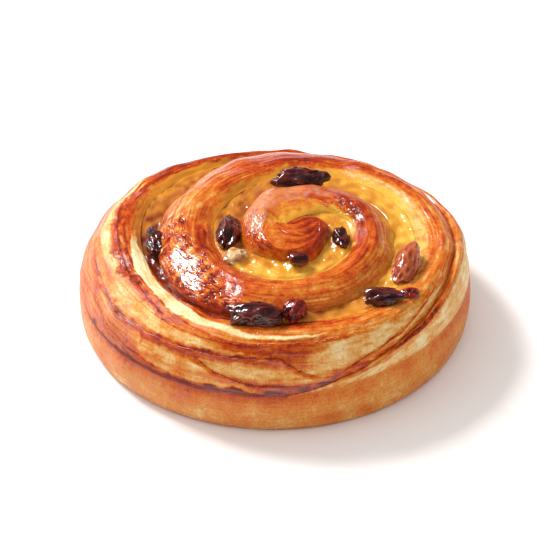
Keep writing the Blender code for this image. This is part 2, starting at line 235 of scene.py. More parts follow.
# How much each kind of waves browns the crust: all of it, the pale bands, the dark ones, the lips
STREAK_BAKE = 0.06
MOTTLE_BAKE = 0.05
PALE_STREAKS = 0.02
PALE_BLOTCH = 0.05
PALE_CLOUD = 0.06
DARK_BLOTCH = 0.08
LIP_BLOTCH = 0.1

# The dark lines, painted shade along each lifted lip's step and dark joints along the fine lines: half
# width, how much thinner they are from the weak streaks to the strong ones, which streaks those are,
# and how far the lines waver
LINE_HALF = 0.02
LINE_THINNING = (0.5, 3.0)
LINE_STREAKS = (0.35, 0.65)
LINE_WAVER = 0.045

# Thin dark lines where layers meet without lifting, through points of angle and place across
FINE_LINES = (
    ((732, .72), (760, .7), (800, .64), (826, .6), (850, .56)),
    ((742, .88), (775, .84), (812, .8), (838, .76), (856, .8)),
    ((722, .5), (750, .52), (790, .44), (815, .4)),
    ((905, .34), (925, .33), (945, .3), (962, .25), (980, .26)),
    ((900, .99), (920, .965), (945, .96), (970, .965), (990, .99)),
    ((975, .6), (990, .62), (1010, .6), (1030, .62)),
    ((1120, .12), (1150, .18), (1180, .2), (1215, .3), (1240, .42)),
)

# How browned the walls of the slot are, and how far below their edge they are plain
WALL_BAKE = 0.7
WALL_TOP = 1.5 * MM

# How browned the knob's crown is, how streaked, and how close to its ring it turns into the ribbon
KNOB_BAKE = 0.45
CROWN_STREAK = 0.6
CROWN_BLEND = 4

# How browned the underside is
UNDER_BAKE = 0.6

# The creases over the knob, in plan, in millimetres: the first runs on from the slot's start
KNOB_CREASES = (
    ((-1.6, 1.2), (-.2, -.4), (1.4, -1.9), (3.2, -3), (5.4, -3.1), (7.4, -2), (9.6, -.6), (11.8, -.4)),
    ((1.4, -4.2), (3, -5.9), (5, -6.6), (7.2, -5.8), (9.5, -3.6), (11.4, -1.9)),
    ((1.6, -7.2), (3.2, -8.8), (5.4, -9.8), (7.8, -9.3), (10, -6.8), (11.9, -3.8)),
    ((3.8, -12.2), (6.4, -12.6), (8.6, -11.4), (10.6, -9), (12, -6.2)),
)
# How wide the knob's creases are, and how much painted shade darkens them
KNOB_CREASE_WIDTH = 0.7
KNOB_CREASE_PAINTED_SHADE = 0.26

# How narrow the wrinkles are, less is narrower, and how far the other waves bend them, in millimetres
CREASE_SHARPNESS = 0.13
WRINKLE_BEND = 0.8

# Where the glaze has dried to a wrinkled skin: how much, then points of angle, place across, half width
CRACKLED = (
    (1, ((565, .6, .2), (585, .5, .35), (600, .45, .45), (615, .4, .5), (635, .4, .45), (660, .4, .3))),
    (1, ((965, .12, .07), (985, .12, .1), (1002, .1, .07))),
    (1, ((1192, .15, .1), (1205, .2, .15), (1222, .2, .12))),
    (1, ((388, -.4, .25), (405, -.42, .35), (425, -.45, .35), (438, -.45, .25))),
    (1, ((225, .5, .3), (250, .35, .4), (275, .2, .45), (300, .1, .45), (325, .1, .3))),
)

# Where a slope is flatter: angle, place across, reach along in degrees and across, depth in millimetres
FLATTENED = (
    (615.0, 0.42, 42.0, 0.32, 0.45),
    (282.0, 0.32, 42.0, 0.42, 0.85),
    (414.0, -0.42, 20.0, 0.35, 0.25),
)

# Where the glaze is thin and dull: how dull, then points of angle, place across, and half width
DRY_BANDS = (
    (.4, ((292, .2, .35), (310, .25, .5), (330, .25, .5), (355, .2, .35))),
    (.6, ((735, .6, .45), (770, .65, .5), (820, .65, .5), (860, .6, .45), (885, .6, .3))),
    (.6, ((915, .3, .12), (935, .28, .2), (955, .3, .25), (985, .32, .25), (1010, .35, .2))),
    (.6, ((925, .92, .12), (960, .9, .2), (1000, .8, .3), (1040, .75, .35), (1070, .75, .3))),
    (.5, ((1085, .3, .5), (1120, .4, .6), (1190, .5, .5), (1250, .6, .5))),
)

# Painted sheen, a pinkish white that stands for the glaze's reflection of the light: how much, then points
# of angle, place across, half width
PAINTED_SHEEN_BANDS = (
    (.75, ((268, .1, .2), (285, .05, .4), (308, .1, .5), (335, .2, .45), (356, .2, .3))),
    (.5, ((346, 0, .15), (365, 0, .25), (385, 0, .2), (400, -.05, .1))),
    (.35, ((950, .7, .2), (975, .62, .34), (1000, .58, .36), (1025, .6, .34), (1050, .65, .2))),
)
PAINTED_SHEEN_MOTTLE = 0.3
PAINTED_SHEEN_SPECKS = (0.3, 0.7)

# How much painted sheen the side has, every 45 degrees, most on the left, where the light falls
SIDE_PAINTED_SHEEN = (0.2, 0.0, 0.0, 0.0, 0.1, 0.35, 0.7, 0.5)

# How soft the edges of the wrinkled bands and of the painted sheen's bands are, how the mottle moves
# them, and how much the wrinkled glaze varies in colour
CRACKLE_EDGE = 0.2
PAINTED_SHEEN_EDGE = 0.25
BAND_MOTTLE = 0.05
CRACKLED_MOTTLE = 0.15

# How far custard has run up the slopes, as a share of the slope, every 45 degrees
FILM_INNER = (0.0, 0.0, 0.0, 0.0, 0.0, 0.0, 0.0, 0.2, .7, .6, .4, .4, .75, .2, .15, .5,
              .75, .55, .4, .45, .15, .05, .4, .9, .7, .0, .0, .0, .0)
FILM_OUTER = (.1, .35, .35, .25, .2, .25, .25, .3, .3, .4, .4, .3, .25, .0, .05, .3,
              .2, .0, .0, .0, .0, .0, .0, .0, .0, .0, .0, .0, .0)
FILM_EDGE = 0.38
FILM_WAVER = 0.16
FILM_STREAKS = 0.6
FILM_START = 0.05
FILM_RIPPLE = 0.5
FILM_PALER = -0.06

# How much the custard's film, pale dough and wrinkled glaze calm the ridges, streaks and layers
RIDGE_CALM = (0.8, 0.0, 0.9)
STREAK_CALM = (0.6, 0.85, 0.5)
LAYER_CALM = (0.7, 0.0, 0.0)

# Where the flaky layers start, in degrees and across, and how calm the relief is at the edges
LAYERS_FROM = 700.0
LAYERS_BLEND = 60.0
LAYERS_ACROSS = 0.15
EDGE_CALM = 0.12

# How strong the fine streaks are beside the broad ones, and the wavering of what is painted
FINE_STREAK_SHARE = 0.5
WAVER = 0.012
FINE_WAVER = 0.009

# The custard's height over the dough's edge in millimetres and how browned it is, every 45 degrees; its
# darkest, at 585 and 630 degrees in the narrow slot, is caramelised glaze with painted shade
CUSTARD_RISE = (-1.2, .1, .2, .3, .5, .3, -.2, -.4, -.1, 0, .1, -.2, -.8, -1.8, -1.4, 0, -.3)
CUSTARD_BAKE = (.5, .4, .36, .36, .3, .32, .6, .66, .6, .34, .24, .46, .68, 1.0, .95, .62, .58)

# The custard's sheet: where it starts and ends, how finely it is cut, how far it laps under the
# dough on each side, how high and wide its creep up to the dough is and how far its edge then dips
# under it, its shoulder's depth, and its lumps' sizes and heights
CUSTARD_START = 14.0
CUSTARD_END = 712.0
CUSTARD_SECTIONS = 700
CUSTARD_COLUMNS = 36
CUSTARD_LAP = 1.7
CUSTARD_CREEP = 0.2
CUSTARD_FILLET = 1.6
CUSTARD_TUCK = 1.0
CUSTARD_SKIRT = 2.5
CUSTARD_LUMPS = ((9.0, 0.25), (4.0, 0.14), (1.8, 0.06))

# How far the custard's foot keeps from the slot's walls and its least half width, how much calmer
# its lumps are at its sides, how much painted shade darkens it beside the inner turn's dough, how
# much it is browned in lumps, and at its foot
CUSTARD_CLEARANCE = 0.02 * MM
CUSTARD_LEAST = 0.2 * MM
CUSTARD_CALM = 0.7
CUSTARD_PAINTED_SHADE = 0.2
CUSTARD_MOTTLE = 0.1
CUSTARD_FOOT_BAKE = 0.5

# How high the custard stands against the raisins, and how far from them it does, in half raisins
CUSTARD_CLING = 0.8
CLING_REACH = 1.7
CLING_CALM = 4

# The place of a grid that has none in its UV maps
NO_PLACE = (0.0, 0.0, 0.0, 0.0)

# Two points nearer than this are one
WELD = 0.001 * MM

# How finely a raisin is cut
RAISIN_RINGS = 64
RAISIN_SIDES = 72

# A raisin's bulges, folds and creases: lengths in millimetres, how many waves, the first raisin's
# seed, and height in millimetres
RAISIN_RELIEF = (
    ((7.0, 5.0, 5.0), 16, 301, 0.4),
    ((10.0, 2.8, 2.8), 30, 101, 0.55),
    ((3.4, 1.5, 1.5), 30, 201, 0.22),
)

# How narrow a raisin's ridges are, and how much the folds and the creases lighten its skin on the ridges as
# painted light, leaving painted shade between
RIDGE_SHARPNESS = 0.5
RIDGE_SHARES = (0.42, 0.18)
RIDGE_MOST = 0.6

# The raisins' skins: their colours in the folds, dark with painted shade, between, and on the ridges, light
# with painted light, and their roughness
RAISIN_SKINS = {
    "dark_raisin_skin": ("raisin_fold", "raisin", "raisin_ridge", 0.45),
    "red_raisin_skin": ("raisin_fold", "red_raisin", "red_ridge", 0.45),
    "amber_raisin_skin": ("red_raisin", "amber_raisin", "amber_ridge", 0.4),
    "custard_coated_raisin_skin": ("amber_raisin", "coated_raisin", "cream", 0.4),
}

# The record's finish and the skin of the raisins that aren't dark
RAISIN_FINISHES = {
    "raisin_right": ("amber_raisin", "amber_raisin_skin"),
    "raisin_small": ("amber_raisin", "red_raisin_skin"),
    "raisin_pale": ("coated_raisin", "custard_coated_raisin_skin"),
    "raisin_front_red": ("dark_raisin", "red_raisin_skin"),
}

# Raisins that are plumper than the others, and how strong their ridges and bulges are beside those
PLUMP_RAISINS = {"raisin_right": 0.55, "raisin_pale": 0.8}

# The stage: the camera's distance in metres, its angles in degrees and its lens in millimetres; the
# lights' directions, distances, sizes, watts, and whether they show in the gloss; the floor's size;
# and how bright the room is to the eye, and in the gloss, where a studio's dark walls would show
CAMERA_DISTANCE = 0.6
CAMERA_ELEVATION = 38.0
CAMERA_LENS = 138.0
CAMERA_SENSOR = 36.0
CAMERA_RAISE = 0.84
CAMERA_TURN = 0.085
LIGHTS = (
    ("softbox", (-0.51, 0.47, 0.675), 1.2, 0.34, 18.0, True),
    ("fill", (-0.93, -0.05, 0.36), 1.0, 0.9, 2.0, False),
)
FLOOR_SIZE = 8.0
ROOM_STRENGTH = 0.84
MIRRORED_STRENGTH = 0.08
WHITE = (1.0, 1.0, 1.0, 1.0)

# The crust's fine patterns along the ribbon: cycles for each millimetre along and across it, then
# the noise's detail, roughness and distortion. Real streaks are about 5 mm long and 0.7 mm wide.
RIBBON_PATTERNS = {
    "streaks": ((0.18, 1.5, 1.0), 5.0, 0.66, 0.4),
    "maze": ((0.3, 0.6, 1.0), 1.5, 0.5, 1.0),
    "layers": ((0.03, 0.26, 1.0), 2.0, 0.5, 0.0),
    "fibres": ((1.1, 0.25, 1.0), 3.0, 0.6, 0.6),
}

# Its specks and its grain, the same every way: the real size of a speck
SPECK_PATTERNS = {"specks": 1.4 * MM, "grain": 0.6 * MM}

# How much each pattern darkens the crust, by browning and, for the dark lines at the lips' steps and
# the glaze's creases, by painted shade; and how far it stands out, or is cut in if negative
BROWNING_AND_PAINTED_SHADE = {
    "streaks": 0.54, "specks": 0.4, "layers": 0.1, "fibres": 0.22, "colour_grain": 0.4,
    "broken_lines": 0.56, "creases": 0.34,
}
RELIEF = {
    "grain": 0.13 * MM, "streaks": 0.06 * MM, "layers": -0.05 * MM, "fibres": 0.1 * MM,
    "lines": -0.06 * MM, "creases": -0.1 * MM,
}

# How wide the glaze's creases are, how many layer lines a step of noise holds and how wide they are,
# how much dullness calms the specks and roughens the grain, and how much wrinkled glaze smooths it
CREASE_SHARE = 0.07
LAYER_COUNT = 5.0
LAYER_EDGE = 0.12
DRY_CALM = 0.6
DRY_GRAIN = 1.0
CRACKLE_CALM = 0.8

# The custard's specks and the grain of its skin, and a raisin's: real size, strength and depth
CUSTARD_SPECKS = 0.22
CUSTARD_SPECK_SIZE = 2.2 * MM
CUSTARD_GRAIN_SIZE = 1.0 * MM
CUSTARD_GRAIN_DEPTH = 0.1 * MM
RAISIN_SPECKS = 0.6
RAISIN_SPECK_SIZE = 1.4 * MM
RAISIN_GRAIN_DEPTH = 0.16 * MM

# How browned the side is, every 45 degrees, how much darker it is just under the rim, how fast that
# and the ribbon's own colour fade downwards, how streaked and lumpy it is, and how dull
SIDE_BAKE = (.4, .4, .38, .31, .33, .32, .33, .38)
SIDE_TOP_BAKE = 0.24
SIDE_TOP_FADE = 3
SIDE_BLEND = 16
SIDE_STREAK = 0.5
SIDE_MOTTLE = 0.055
SIDE_SPECKS = 0.0275
SIDE_LUMP = 0.3 * MM
SIDE_DRYNESS = 0.7
PALE_DRYNESS = 0.75

# Random waves: lengths in millimetres along each axis, how many are added up, and the seed. The
# first lie in plan, the next along and across the ribbon, and the side's in space.
PLAN_WAVES = {
    "lumps": ((14.0, 14.0), 28, 3),
    "mottle": ((4.0, 4.0), 40, 17),
    "cloud": ((10.0, 10.0), 28, 31),
}
RIBBON_WAVES = {
    "streaks": ((22.0, 2.6), 40, 5),
    "fine_streaks": ((12.0, 1.3), 48, 7),
    "waver": ((9.0, 60.0), 28, 11),
    "fine_waver": ((2.2, 20.0), 28, 19),
    "blotch": ((5.0, 2.0), 40, 29),
}
WRINKLE_WAVES = ((4.5, 2.4), 40, 13)
SIDE_LUMP_WAVES = ((16.0, 16.0, 9.0), 28, 3)
SIDE_MOTTLE_WAVES = ((9.0, 9.0, 9.0), 28, 19)
SIDE_SPECK_WAVES = ((3.0, 3.0, 5.0), 40, 29)
CUSTARD_MOTTLE_WAVES = ((5.0, 5.0), 28, 17)
CUSTARD_LUMP_COUNT = 28
CUSTARD_LUMP_SEED = 23
WAVE_SPREAD = (0.6, 1.5)

# What the crust's material reads at each point
CRUST_VALUES = ("bake", "film", "film_bake", "crackle", "streak", "layers", "dry", "bloom")


def along(angle, stations, first=0.0):
    """The smooth curve (Catmull-Rom) through values that stand 45 degrees apart."""
    values = np.asarray(stations, dtype=float)
    place = np.clip((np.asarray(angle, dtype=float) - first) / STATION, 0.0, len(values) - 1)
    index = np.minimum(place.astype(int), len(values) - 2)
    t = place - index
    before, start, end, after = (values[np.clip(index + k, 0, len(values) - 1)] for k in (-1, 0, 1, 2))
    return 0.5 * (
        2.0 * start
        + (end - before) * t
        + (2.0 * before - 5.0 * start + 4.0 * end - after) * t**2
        + (3.0 * start - before - 3.0 * end + after) * t**3
    )


def around(angle, stations):
    """The same curve through values that close on themselves after a full turn."""
    closed = tuple(stations[-2:]) + tuple(stations) + tuple(stations[:2])
    return along(np.asarray(angle, dtype=float) % FULL_TURN, closed, first=-2.0 * STATION)


def smooth(x):
    """An S-shaped step: 0 below 0, 1 above 1, and 3x^2 - 2x^3 between."""
    x = np.clip(x, 0.0, 1.0)
    return x * x * (3.0 - 2.0 * x)


def mix(a, b, share):
    """a where share is 0, b where it is 1."""
    return a + (b - a) * share


def direction(angle):
    """Unit steps in plan, away from the pole, for angles clockwise from the back."""
    radians = np.radians(angle)
    return np.stack([np.sin(radians), np.cos(radians)], axis=-1)


def rim_radius(angle):
    """How far the rim's ellipse is from the pole."""
    scale = np.array([1.0 / HALF_WIDTH, 1.0 / HALF_DEPTH])
    ray = direction(angle) * scale
    start = np.array(POLE) * scale
    square = (ray**2).sum(axis=-1)
    half = ray @ start
    return (-half + np.sqrt(half**2 - square * (start @ start - 1.0))) / square


def rim_height(angle):
    """How high the rim is."""
    return around(angle, RIM_HEIGHT) * MM


def in_place(angle, radius, height):
    """Points from angle, distance from the pole, and height."""
    angle, radius, height = np.broadcast_arrays(angle, radius, height)
    plan = np.array(POLE) + direction(angle) * radius[..., None]
    return np.concatenate([plan, height[..., None]], axis=-1)


def slot_radius(angle):
    """The slot's middle line, and past its end the seam, which runs out to the rim."""
    at_end = float(rim_radius(SLOT_END)) / MM - SLOT_RADIUS[-1]
    slot = along(angle, SLOT_RADIUS) * MM
    margin = along(angle, (at_end,) + SEAM_MARGIN, first=SLOT_END) * MM
    return np.where(np.asarray(angle) < SLOT_END, slot, rim_radius(angle) - margin)


def slot_half_width(angle):
    """Half the slot's width: nothing at its two ends and along the seam."""
    return np.maximum(along(angle, SLOT_HALF_WIDTH), 0.0) * MM * (np.asarray(angle) < SLOT_END)


def ribbon_sides(angle):
    """Distance from the pole and height of a section's inner and outer edge."""
    inner_slot = angle - FULL_TURN
    outside_knob = angle >= FULL_TURN
    inner = np.where(outside_knob, slot_radius(inner_slot) + slot_half_width(inner_slot), CORE_RADIUS)
    inner_level = np.where(outside_knob, along(inner_slot, SLOT_LEVEL), around(angle, KNOB_RING)) * MM
    at_rim = angle >= TAIL_TIP
    outer = np.where(at_rim, rim_radius(angle), slot_radius(angle) - slot_half_width(angle))
    outer_level = np.where(at_rim, rim_height(angle), along(angle, SLOT_LEVEL) * MM)
    return inner, inner_level, outer, outer_level


def crest(angle):
    """Distance from the pole and height of the ribbon's crest, with the tail's past the full turns."""
    tail_start = SLOT_END + FULL_TURN
    radius = along(angle, CREST_RADIUS) * MM
    height = along(angle, CREST_HEIGHT) * MM
    seam = slot_radius(angle - FULL_TURN)
    tail_radius = seam + (rim_radius(angle) - seam) * TAIL_CREST_SHARE
    tail_rise = along(angle, TAIL_CREST_RISE, first=tail_start)
    tail_height = (along(angle - FULL_TURN, SLOT_LEVEL) + tail_rise) * MM
    in_tail = angle > tail_start
    return np.where(in_tail, tail_radius, radius), np.where(in_tail, tail_height, height)


def waves(points, lengths, count, seed):
    """Smooth noise of about -1 to 1: the sum of plane waves with seeded headings and phases, whose
    lengths lie near the given ones along each axis."""
    random = np.random.default_rng(seed)
    heading = random.normal(size=(count, len(lengths)))
    heading /= np.linalg.norm(heading, axis=1, keepdims=True)
    number = 2.0 * math.pi * heading * random.uniform(*WAVE_SPREAD, size=(count, 1)) / np.array(lengths)
    phase = random.uniform(0.0, 2.0 * math.pi, size=count)
    total = np.zeros(points.shape[:-1])
    for k in range(count):
        total += np.sin(points @ number[k] + phase[k])
    return total / math.sqrt(count)


def band(angle, across, points, edge, wobble=0.0):
    """How much a painted band covers each place: 1 inside, falling to 0 over its edge and at its ends."""
    at, middle, half = np.array(points).T
    half = np.interp(angle, at, half)
    inside = half - np.abs(across - np.interp(angle, at, middle) + wobble)
    return smooth(inside / np.minimum(edge, half) + 0.5) * faded_ends(angle, at)


def faded_ends(angle, at):
    """1 along a band or a lip, falling to 0 at its two ends."""
    return smooth((angle - at[0]) / LIP_FADE) * smooth((at[-1] - angle) / LIP_FADE)


def strongest(angle, across, bands, edge, wobble):
    """How strong the strongest of some painted bands is at each place, each as strong as its level."""
    covers = [level * band(angle, across, points, edge, wobble) for level, points in bands]
    return np.max(covers, axis=0)


def calmed(covers, shares):
    """What is left, 0 to 1, where each cover takes its share away."""
    left = 1.0
    for cover, share in zip(covers, shares):
        left = left * (1.0 - share * cover)
    return left


def distance_to_line(points, line):
    """How far each point is from a line through the given corners, in plan."""
    line = np.array(line)
    nearest = np.full(points.shape[:-1], np.inf)
    for start, end in zip(line[:-1], line[1:]):
        way = end - start
        share = np.clip(((points - start) @ way) / (way @ way), 0.0, 1.0)
        nearest = np.minimum(nearest, np.linalg.norm(points - start - share[..., None] * way, axis=-1))
    return nearest


class Skin:
    """Collects grids of points with their values, and welds them to one closed mesh."""

    def __init__(self, names):
        self.names = names
        self.points = []
        self.faces = []
        self.values = {name: [] for name in names}
        self.places = []
        self.count = 0

    def add_grid(self, grid, values, place, flip=False):
        """A sheet of quads over a grid of points, facing the other way if flipped."""
        rows, columns = grid.shape[:2]
        index = np.arange(rows * columns).reshape(rows, columns) + self.count
        quads = np.stack([index[:-1, :-1], index[1:, :-1], index[1:, 1:], index[:-1, 1:]], axis=-1)
        quads = quads.reshape(-1, 4)
        self.faces.append(quads[:, ::-1] if flip else quads)
        self.points.append(grid.reshape(-1, 3))
        self.places.append(np.broadcast_to(place, grid.shape[:2] + (4,)).reshape(-1, 4))
        for name in self.names:
            value = np.broadcast_to(values[name], grid.shape[:2])
            self.values[name].append(value.reshape(-1))
        self.count += rows * columns

    def finish(self, name, material):
        """The welded mesh as an object, its faces turned outward, with a UV map in millimetres along
        and across the ribbon, and one in degrees along it and shares across it."""
        points = np.concatenate(self.points)
        faces = np.concatenate(self.faces)
        mesh = bpy.data.meshes.new(name)
        mesh.from_pydata(points, [], faces)
        for key in self.names:
            layer = mesh.attributes.new(key, "FLOAT", "POINT")
            layer.data.foreach_set("value", np.concatenate(self.values[key]).astype(np.float32))
        corners = np.zeros(len(mesh.loops), dtype=np.int32)
        mesh.loops.foreach_get("vertex_index", corners)
        places = np.concatenate(self.places)[corners].astype(np.float32)
        for k, layer_name in enumerate(("ribbon", "turns")):
            layer = mesh.uv_layers.new(name=layer_name)
            layer.data.foreach_set("uv", places[:, 2 * k : 2 * k + 2].ravel())
        shape = bmesh.new()
        shape.from_mesh(mesh)
        bmesh.ops.remove_doubles(shape, verts=shape.verts, dist=WELD)
        bmesh.ops.dissolve_degenerate(shape, edges=shape.edges, dist=WELD)
        bmesh.ops.recalc_face_normals(shape, faces=shape.faces)
        shape.to_mesh(mesh)
        shape.free()
        mesh.shade_smooth()
        mesh.materials.append(material)
        piece = bpy.data.objects.new(name, mesh)
        bpy.context.scene.collection.objects.link(piece)
        return piece


def hex_colour(code):
    """A linear colour with full alpha from an sRGB hex code."""
    values = [int(code[i : i + 2], 16) / 255.0 for i in (1, 3, 5)]
    linear = [v / 12.92 if v <= 0.04045 else ((v + 0.055) / 1.055) ** 2.4 for v in values]
    return (*linear, 1.0)


def set_inputs(tree, node, inputs):
    """Gives a node its inputs: a plain value, another node's output, or a node for its first output."""
    for name, value in inputs.items():
        if isinstance(value, bpy.types.Node):
            value = value.outputs[0]
        if isinstance(value, bpy.types.NodeSocket):
            tree.links.new(value, node.inputs[name])
        else:
            node.inputs[name].default_value = value


def add(tree, kind, settings=None, inputs=None):
    """A new node with its settings and its inputs."""
    node = tree.nodes.new("ShaderNode" + kind)
    for name, value in (settings or {}).items():
        setattr(node, name, value)
    set_inputs(tree, node, inputs or {})
    return node


def new_material(name, display):
    """An empty node material with a Principled shader, and its node tree."""
    material = bpy.data.materials.new(name)
    material.use_nodes = True
    material.diffuse_color = display
    return material, material.node_tree, material.node_tree.nodes["Principled BSDF"]


def set_ramp(node, stops):
    """Gives a colour ramp its stops of place and colour."""
    elements = node.color_ramp.elements
    while len(elements) > 1:
        elements.remove(elements[-1])
    elements[0].position = stops[0][0]
    elements[0].color = stops[0][1]
    for place, colour in stops[1:]:
        element = elements.new(place)
        element.color = colour


def custard_colour(tree, browning_and_painted_shade):
    """Custard's colour, from its palest to its most browned, with faint specks; its level also
    carries the painted shade beside the dough.
    """
    colours = bpy.context.scene.pastry_colours
    place = add(tree, "TexCoord").outputs["Object"]
    specks = add(tree, "TexNoise", {}, {
        "Vector": place, "Scale": 1.0 / CUSTARD_SPECK_SIZE, "Detail": 4.0, "Roughness": 0.6})
    centred = add(tree, "Math", {"operation": "SUBTRACT"}, {0: specks, 1: 0.5})
    level = add(tree, "Math", {"operation": "MULTIPLY_ADD"}, {0: centred, 1: CUSTARD_SPECKS, 2: browning_and_painted_shade})
    ramp = add(tree, "ValToRGB", {}, {"Fac": level})
    set_ramp(ramp, (
        (0.0, colours.custard_cream), (0.25, colours.custard_yellow), (0.5, colours.custard),
        (0.75, colours.custard_brown), (1.0, colours.caramel)))
    return ramp


def line_cover(tree, angle, across, thinning, line):
    """How much a thin dark line covers each place: a curve through the line's points gives its place
    across, counted from 0 to 2 here, for each angle, and the line fades where it ends."""
    first, last = line[0][0], line[-1][0]
    share = add(tree, "MapRange", {}, {"Value": angle, "From Min": first, "From Max": last})
    curve = add(tree, "FloatCurve", {}, {"Value": share})
    points = curve.mapping.curves[0].points
    for at, middle in line[1:-1]:
        points.new((at - first) / (last - first), 0.5 + 0.5 * middle)
    for point, (_, middle) in zip(points, line):
        point.location = (point.location[0], 0.5 + 0.5 * middle)
        point.handle_type = "VECTOR"
    curve.mapping.update()
    beside = add(tree, "Math", {"operation": "MULTIPLY_ADD"}, {0: curve, 1: -2.0, 2: across})
    away = add(tree, "Math", {"operation": "ABSOLUTE"}, {0: beside})
    thinned = add(tree, "Math", {"operation": "MULTIPLY"}, {0: away, 1: thinning})
    cover = add(tree, "MapRange", {"interpolation_type": "SMOOTHSTEP"}, {
        "Value": thinned, "From Max": LINE_HALF, "To Min": 1.0, "To Max": 0.0})
    to_end = add(tree, "Math", {"operation": "PINGPONG"}, {0: share, 1: 0.5})
    fade = add(tree, "MapRange", {}, {"Value": to_end, "From Max": LIP_FADE / (last - first)})
    return add(tree, "Math", {"operation": "MULTIPLY"}, {0: cover, 1: fade})


def dark_lines(tree, streaks, fibres):
    """How much the dark lines cover each place: painted shade along each lifted lip's step, and dark
    joints along the fine lines. They waver with the fibres, and the streaks thin them.
    """
    turns_map = add(tree, "UVMap", {"uv_map": "turns"})
    turns = add(tree, "SeparateXYZ", {}, {"Vector": turns_map})
    waver = add(tree, "Math", {"operation": "MULTIPLY_ADD"}, {
        0: fibres, 1: LINE_WAVER, 2: turns.outputs["Y"]})
    across = add(tree, "Math", {"operation": "ADD"}, {0: waver, 1: 1.0})
    thinning = add(tree, "MapRange", {}, {
        "Value": streaks, "From Min": LINE_STREAKS[0], "From Max": LINE_STREAKS[1],
        "To Min": LINE_THINNING[0], "To Max": LINE_THINNING[1]})
    lines = 0.0
    for line in LIPS + FINE_LINES:
        cover = line_cover(tree, turns.outputs["X"], across, thinning, line)
        lines = add(tree, "Math", {"operation": "MAXIMUM"}, {0: lines, 1: cover})
    return lines


def crust_noises(tree):
    """The crust's noises of 0 to 1: some are drawn out along the ribbon, the specks are round."""
    place = add(tree, "TexCoord").outputs["Object"]
    ribbon = add(tree, "UVMap", {"uv_map": "ribbon"})
    noise = {}
    for name, (scale, detail, roughness, distortion) in RIBBON_PATTERNS.items():
        stretched = add(tree, "Mapping", {}, {"Vector": ribbon, "Scale": scale})
        noise[name] = add(tree, "TexNoise", {}, {
            "Vector": stretched, "Scale": 1.0, "Detail": detail, "Roughness": roughness,
            "Distortion": distortion})
    for name, size in SPECK_PATTERNS.items():
        noise[name] = add(tree, "TexNoise", {}, {
            "Vector": place, "Scale": 1.0 / size, "Detail": 3.0, "Roughness": 0.6})
    return noise


def crust_patterns(tree, read, noise):
    """What the noises draw on the crust: streaks, fibres, specks and grain around 0, and the glaze's
    creases, the edges of layers and the dark lines, 0 where there are none."""
    middle = {
        name: add(tree, "Math", {"operation": "SUBTRACT"}, {0: noise[name], 1: 0.5})
        for name in ("streaks", "maze", "fibres", "specks", "grain")}
    drawn = {"colour_grain": middle["grain"]}
    for name, value in (("streaks", "streak"), ("fibres", "dry")):
        drawn[name] = add(tree, "Math", {"operation": "MULTIPLY"}, {0: middle[name], 1: read[value]})
    calm = add(tree, "Math", {"operation": "MULTIPLY_ADD"}, {0: read["dry"], 1: -DRY_CALM, 2: 1.0})
    drawn["specks"] = add(tree, "Math", {"operation": "MULTIPLY"}, {0: middle["specks"], 1: calm})
    away = add(tree, "Math", {"operation": "ABSOLUTE"}, {0: middle["maze"]})
    stacked = add(tree, "Math", {"operation": "MULTIPLY"}, {0: noise["layers"], 1: 2.0 * LAYER_COUNT})
    folded = add(tree, "Math", {"operation": "PINGPONG"}, {0: stacked, 1: 1.0})
    # The glaze's creases, which painted shade darkens, and the edges of layers
    for name, distance, width, value in (
            ("creases", away, CREASE_SHARE, "crackle"), ("layers", folded, LAYER_EDGE, "layers")):
        line = add(tree, "MapRange", {"interpolation_type": "SMOOTHSTEP"}, {
            "Value": distance, "From Max": width, "To Min": 1.0, "To Max": 0.0})
        drawn[name] = add(tree, "Math", {"operation": "MULTIPLY"}, {0: line, 1: read[value]})
    drawn["lines"] = dark_lines(tree, noise["streaks"], middle["fibres"])
    drawn["broken_lines"] = add(tree, "Math", {"operation": "MULTIPLY"}, {
        0: drawn["lines"], 1: noise["specks"]})
    dull = add(tree, "Math", {"operation": "MULTIPLY_ADD"}, {0: read["dry"], 1: DRY_GRAIN, 2: 1.0})
    rough = add(tree, "Math", {"operation": "MULTIPLY_ADD"}, {
        0: read["crackle"], 1: -CRACKLE_CALM, 2: dull})
    drawn["grain"] = add(tree, "Math", {"operation": "MULTIPLY"}, {0: noise["grain"], 1: rough})
    return drawn


